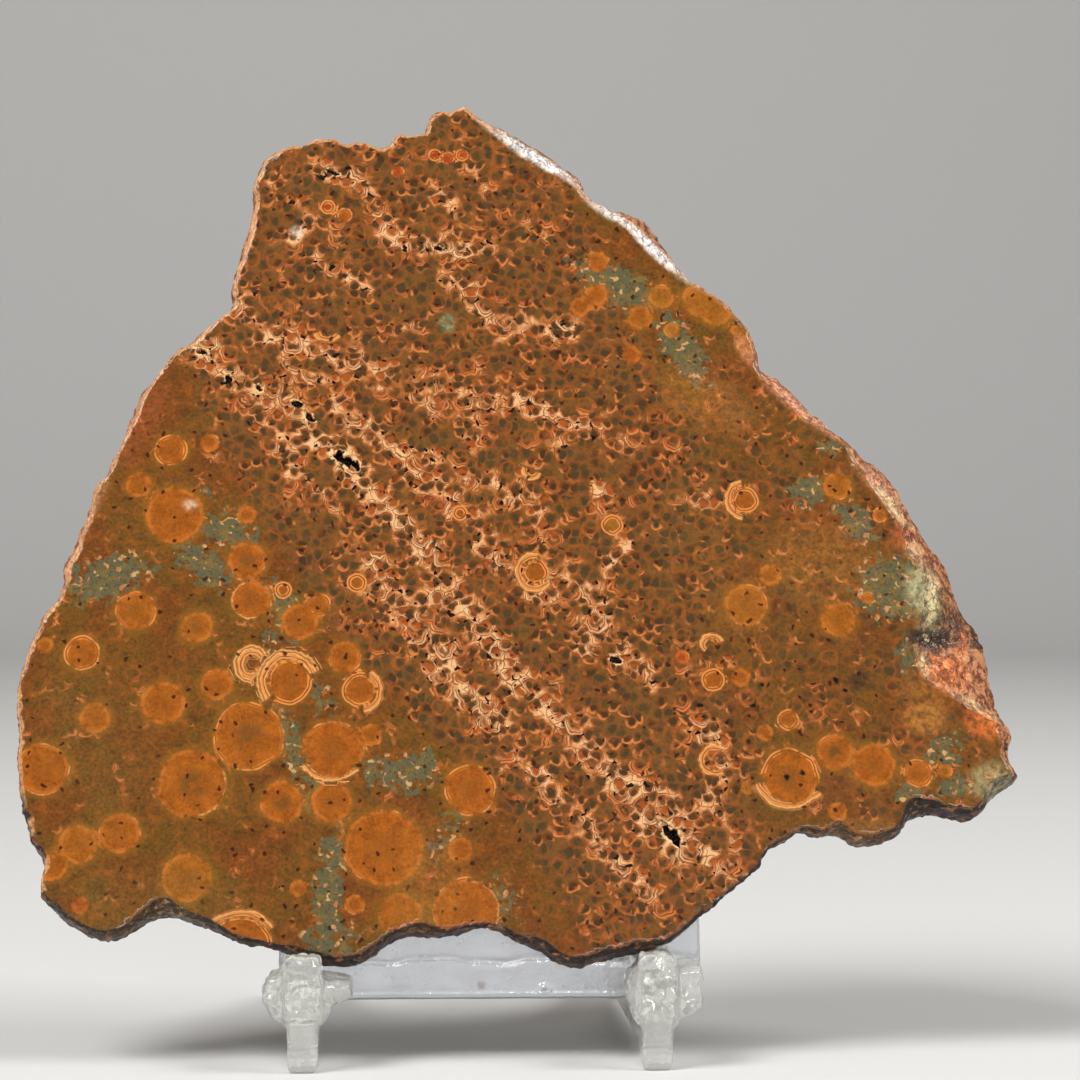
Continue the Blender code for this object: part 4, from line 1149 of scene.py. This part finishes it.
class STONE_OT_build_legs(bpy.types.Operator):
    """Builds the two clear moulded legs in place of their plain solids"""
    bl_idname = "stone.build_legs"
    bl_label = "Build the legs"

    def execute(self, context):
        settings = context.scene.stone_stand
        plastic = clear_plastic("leg plastic", tuple(settings.leg_tint), 0.16)
        leg_piece("left_leg", settings, plastic, 3)
        leg_piece("right_leg", settings, plastic, 4)
        return {"FINISHED"}


class STONE_OT_build_plate(bpy.types.Operator):
    """Builds the bluish clear back plate in place of its plain solid"""
    bl_idname = "stone.build_plate"
    bl_label = "Build the back plate"

    def execute(self, context):
        settings = context.scene.stone_stand
        stain = Vector((MIDDLE_LINE.x / MM - 7.2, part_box("back_plate")[0].y / MM, 9.2))
        plate_piece(settings, clear_plastic("plate plastic", tuple(settings.plate_tint), 0.24, stain))
        return {"FINISHED"}


class STONE_OT_build_stage(bpy.types.Operator):
    """Lays the pale floor and backdrop, the soft lights and the camera"""
    bl_idname = "stone.build_stage"
    bl_label = "Build the studio"

    def execute(self, context):
        scene = context.scene
        settings = scene.stone_stage
        sweep_backdrop(settings)
        world = bpy.data.worlds.new("studio")
        world.use_nodes = True
        sky = world.node_tree.nodes["Background"]
        sky.inputs["Color"].default_value = (1, 0.99, 0.97, 1)
        sky.inputs["Strength"].default_value = 0.2
        scene.world = world
        aim = Vector((0, 0, 0.06))
        for name, place, size, power in LAMPS:
            light = bpy.data.lights.new(name, "AREA")
            light.energy = power
            light.size = size
            lamp = bpy.data.objects.new(name, light)
            lamp.location = place
            lamp.rotation_euler = (aim - Vector(place)).to_track_quat("-Z", "Y").to_euler()
            scene.collection.objects.link(lamp)
        camera = bpy.data.cameras.new("camera")
        camera.sensor_width = 36
        camera.lens = camera.sensor_width * VIEW_FOCAL / VIEW_PIXELS
        camera.clip_start = 0.01
        view = bpy.data.objects.new("camera", camera)
        view.location = MIDDLE_LINE + VIEW_EYE * MM
        view.rotation_euler = (math.radians(90), 0, -VIEW_TURN)
        scene.collection.objects.link(view)
        scene.camera = view
        scene.view_settings.view_transform = "Standard"
        return {"FINISHED"}


def sweep_backdrop(settings):
    """A floor that bends up into a backdrop well behind the stone."""
    half, bend, back, steps = settings.floor_size / 2, 0.5, 1.4, 12
    profile = [(-half, 0.0), (back, 0.0)]
    for step in range(1, steps + 1):
        angle = math.radians(90 * step / steps)
        profile.append((back + bend * math.sin(angle), bend * (1 - math.cos(angle))))
    profile.append((back + bend, half))
    bm = bmesh.new()
    rows = [[bm.verts.new((x, y, z)) for x in (-half, half)] for y, z in profile]
    for low, high in zip(rows[:-1], rows[1:]):
        bm.faces.new((low[0], low[1], high[1], high[0]))
    paper = Paint("paper", 0.8)
    paper.set("Base Color", tuple(settings.floor_colour))
    new_piece("floor_and_backdrop", bm, paper.material)


class STONE_PT_panel(bpy.types.Panel):
    """Lists the builders"""
    bl_idname = "STONE_PT_panel"
    bl_label = "Rhyolite slab"
    bl_space_type = "VIEW_3D"
    bl_region_type = "UI"
    bl_category = "Stone"

    def draw(self, context):
        for operator in (STONE_OT_build_slab, STONE_OT_build_legs, STONE_OT_build_plate,
                         STONE_OT_build_stage):
            self.layout.operator(operator.bl_idname)


CLASSES = (StoneSettings, StandSettings, StageSettings, STONE_OT_build_slab, STONE_OT_build_legs,
           STONE_OT_build_plate, STONE_OT_build_stage, STONE_PT_panel)


def register():
    for cls in CLASSES:
        bpy.utils.register_class(cls)
    bpy.types.Scene.stone = bpy.props.PointerProperty(type=StoneSettings)
    bpy.types.Scene.stone_stand = bpy.props.PointerProperty(type=StandSettings)
    bpy.types.Scene.stone_stage = bpy.props.PointerProperty(type=StageSettings)


def unregister():
    for name in ("stone", "stone_stand", "stone_stage"):
        delattr(bpy.types.Scene, name)
    for cls in reversed(CLASSES):
        bpy.utils.unregister_class(cls)


def main():
    register()
    bpy.ops.stone.build_slab()
    bpy.ops.stone.build_legs()
    bpy.ops.stone.build_plate()
    bpy.ops.stone.build_stage()
    bpy.context.view_layer.update()


if __name__ == "__main__":
    main()
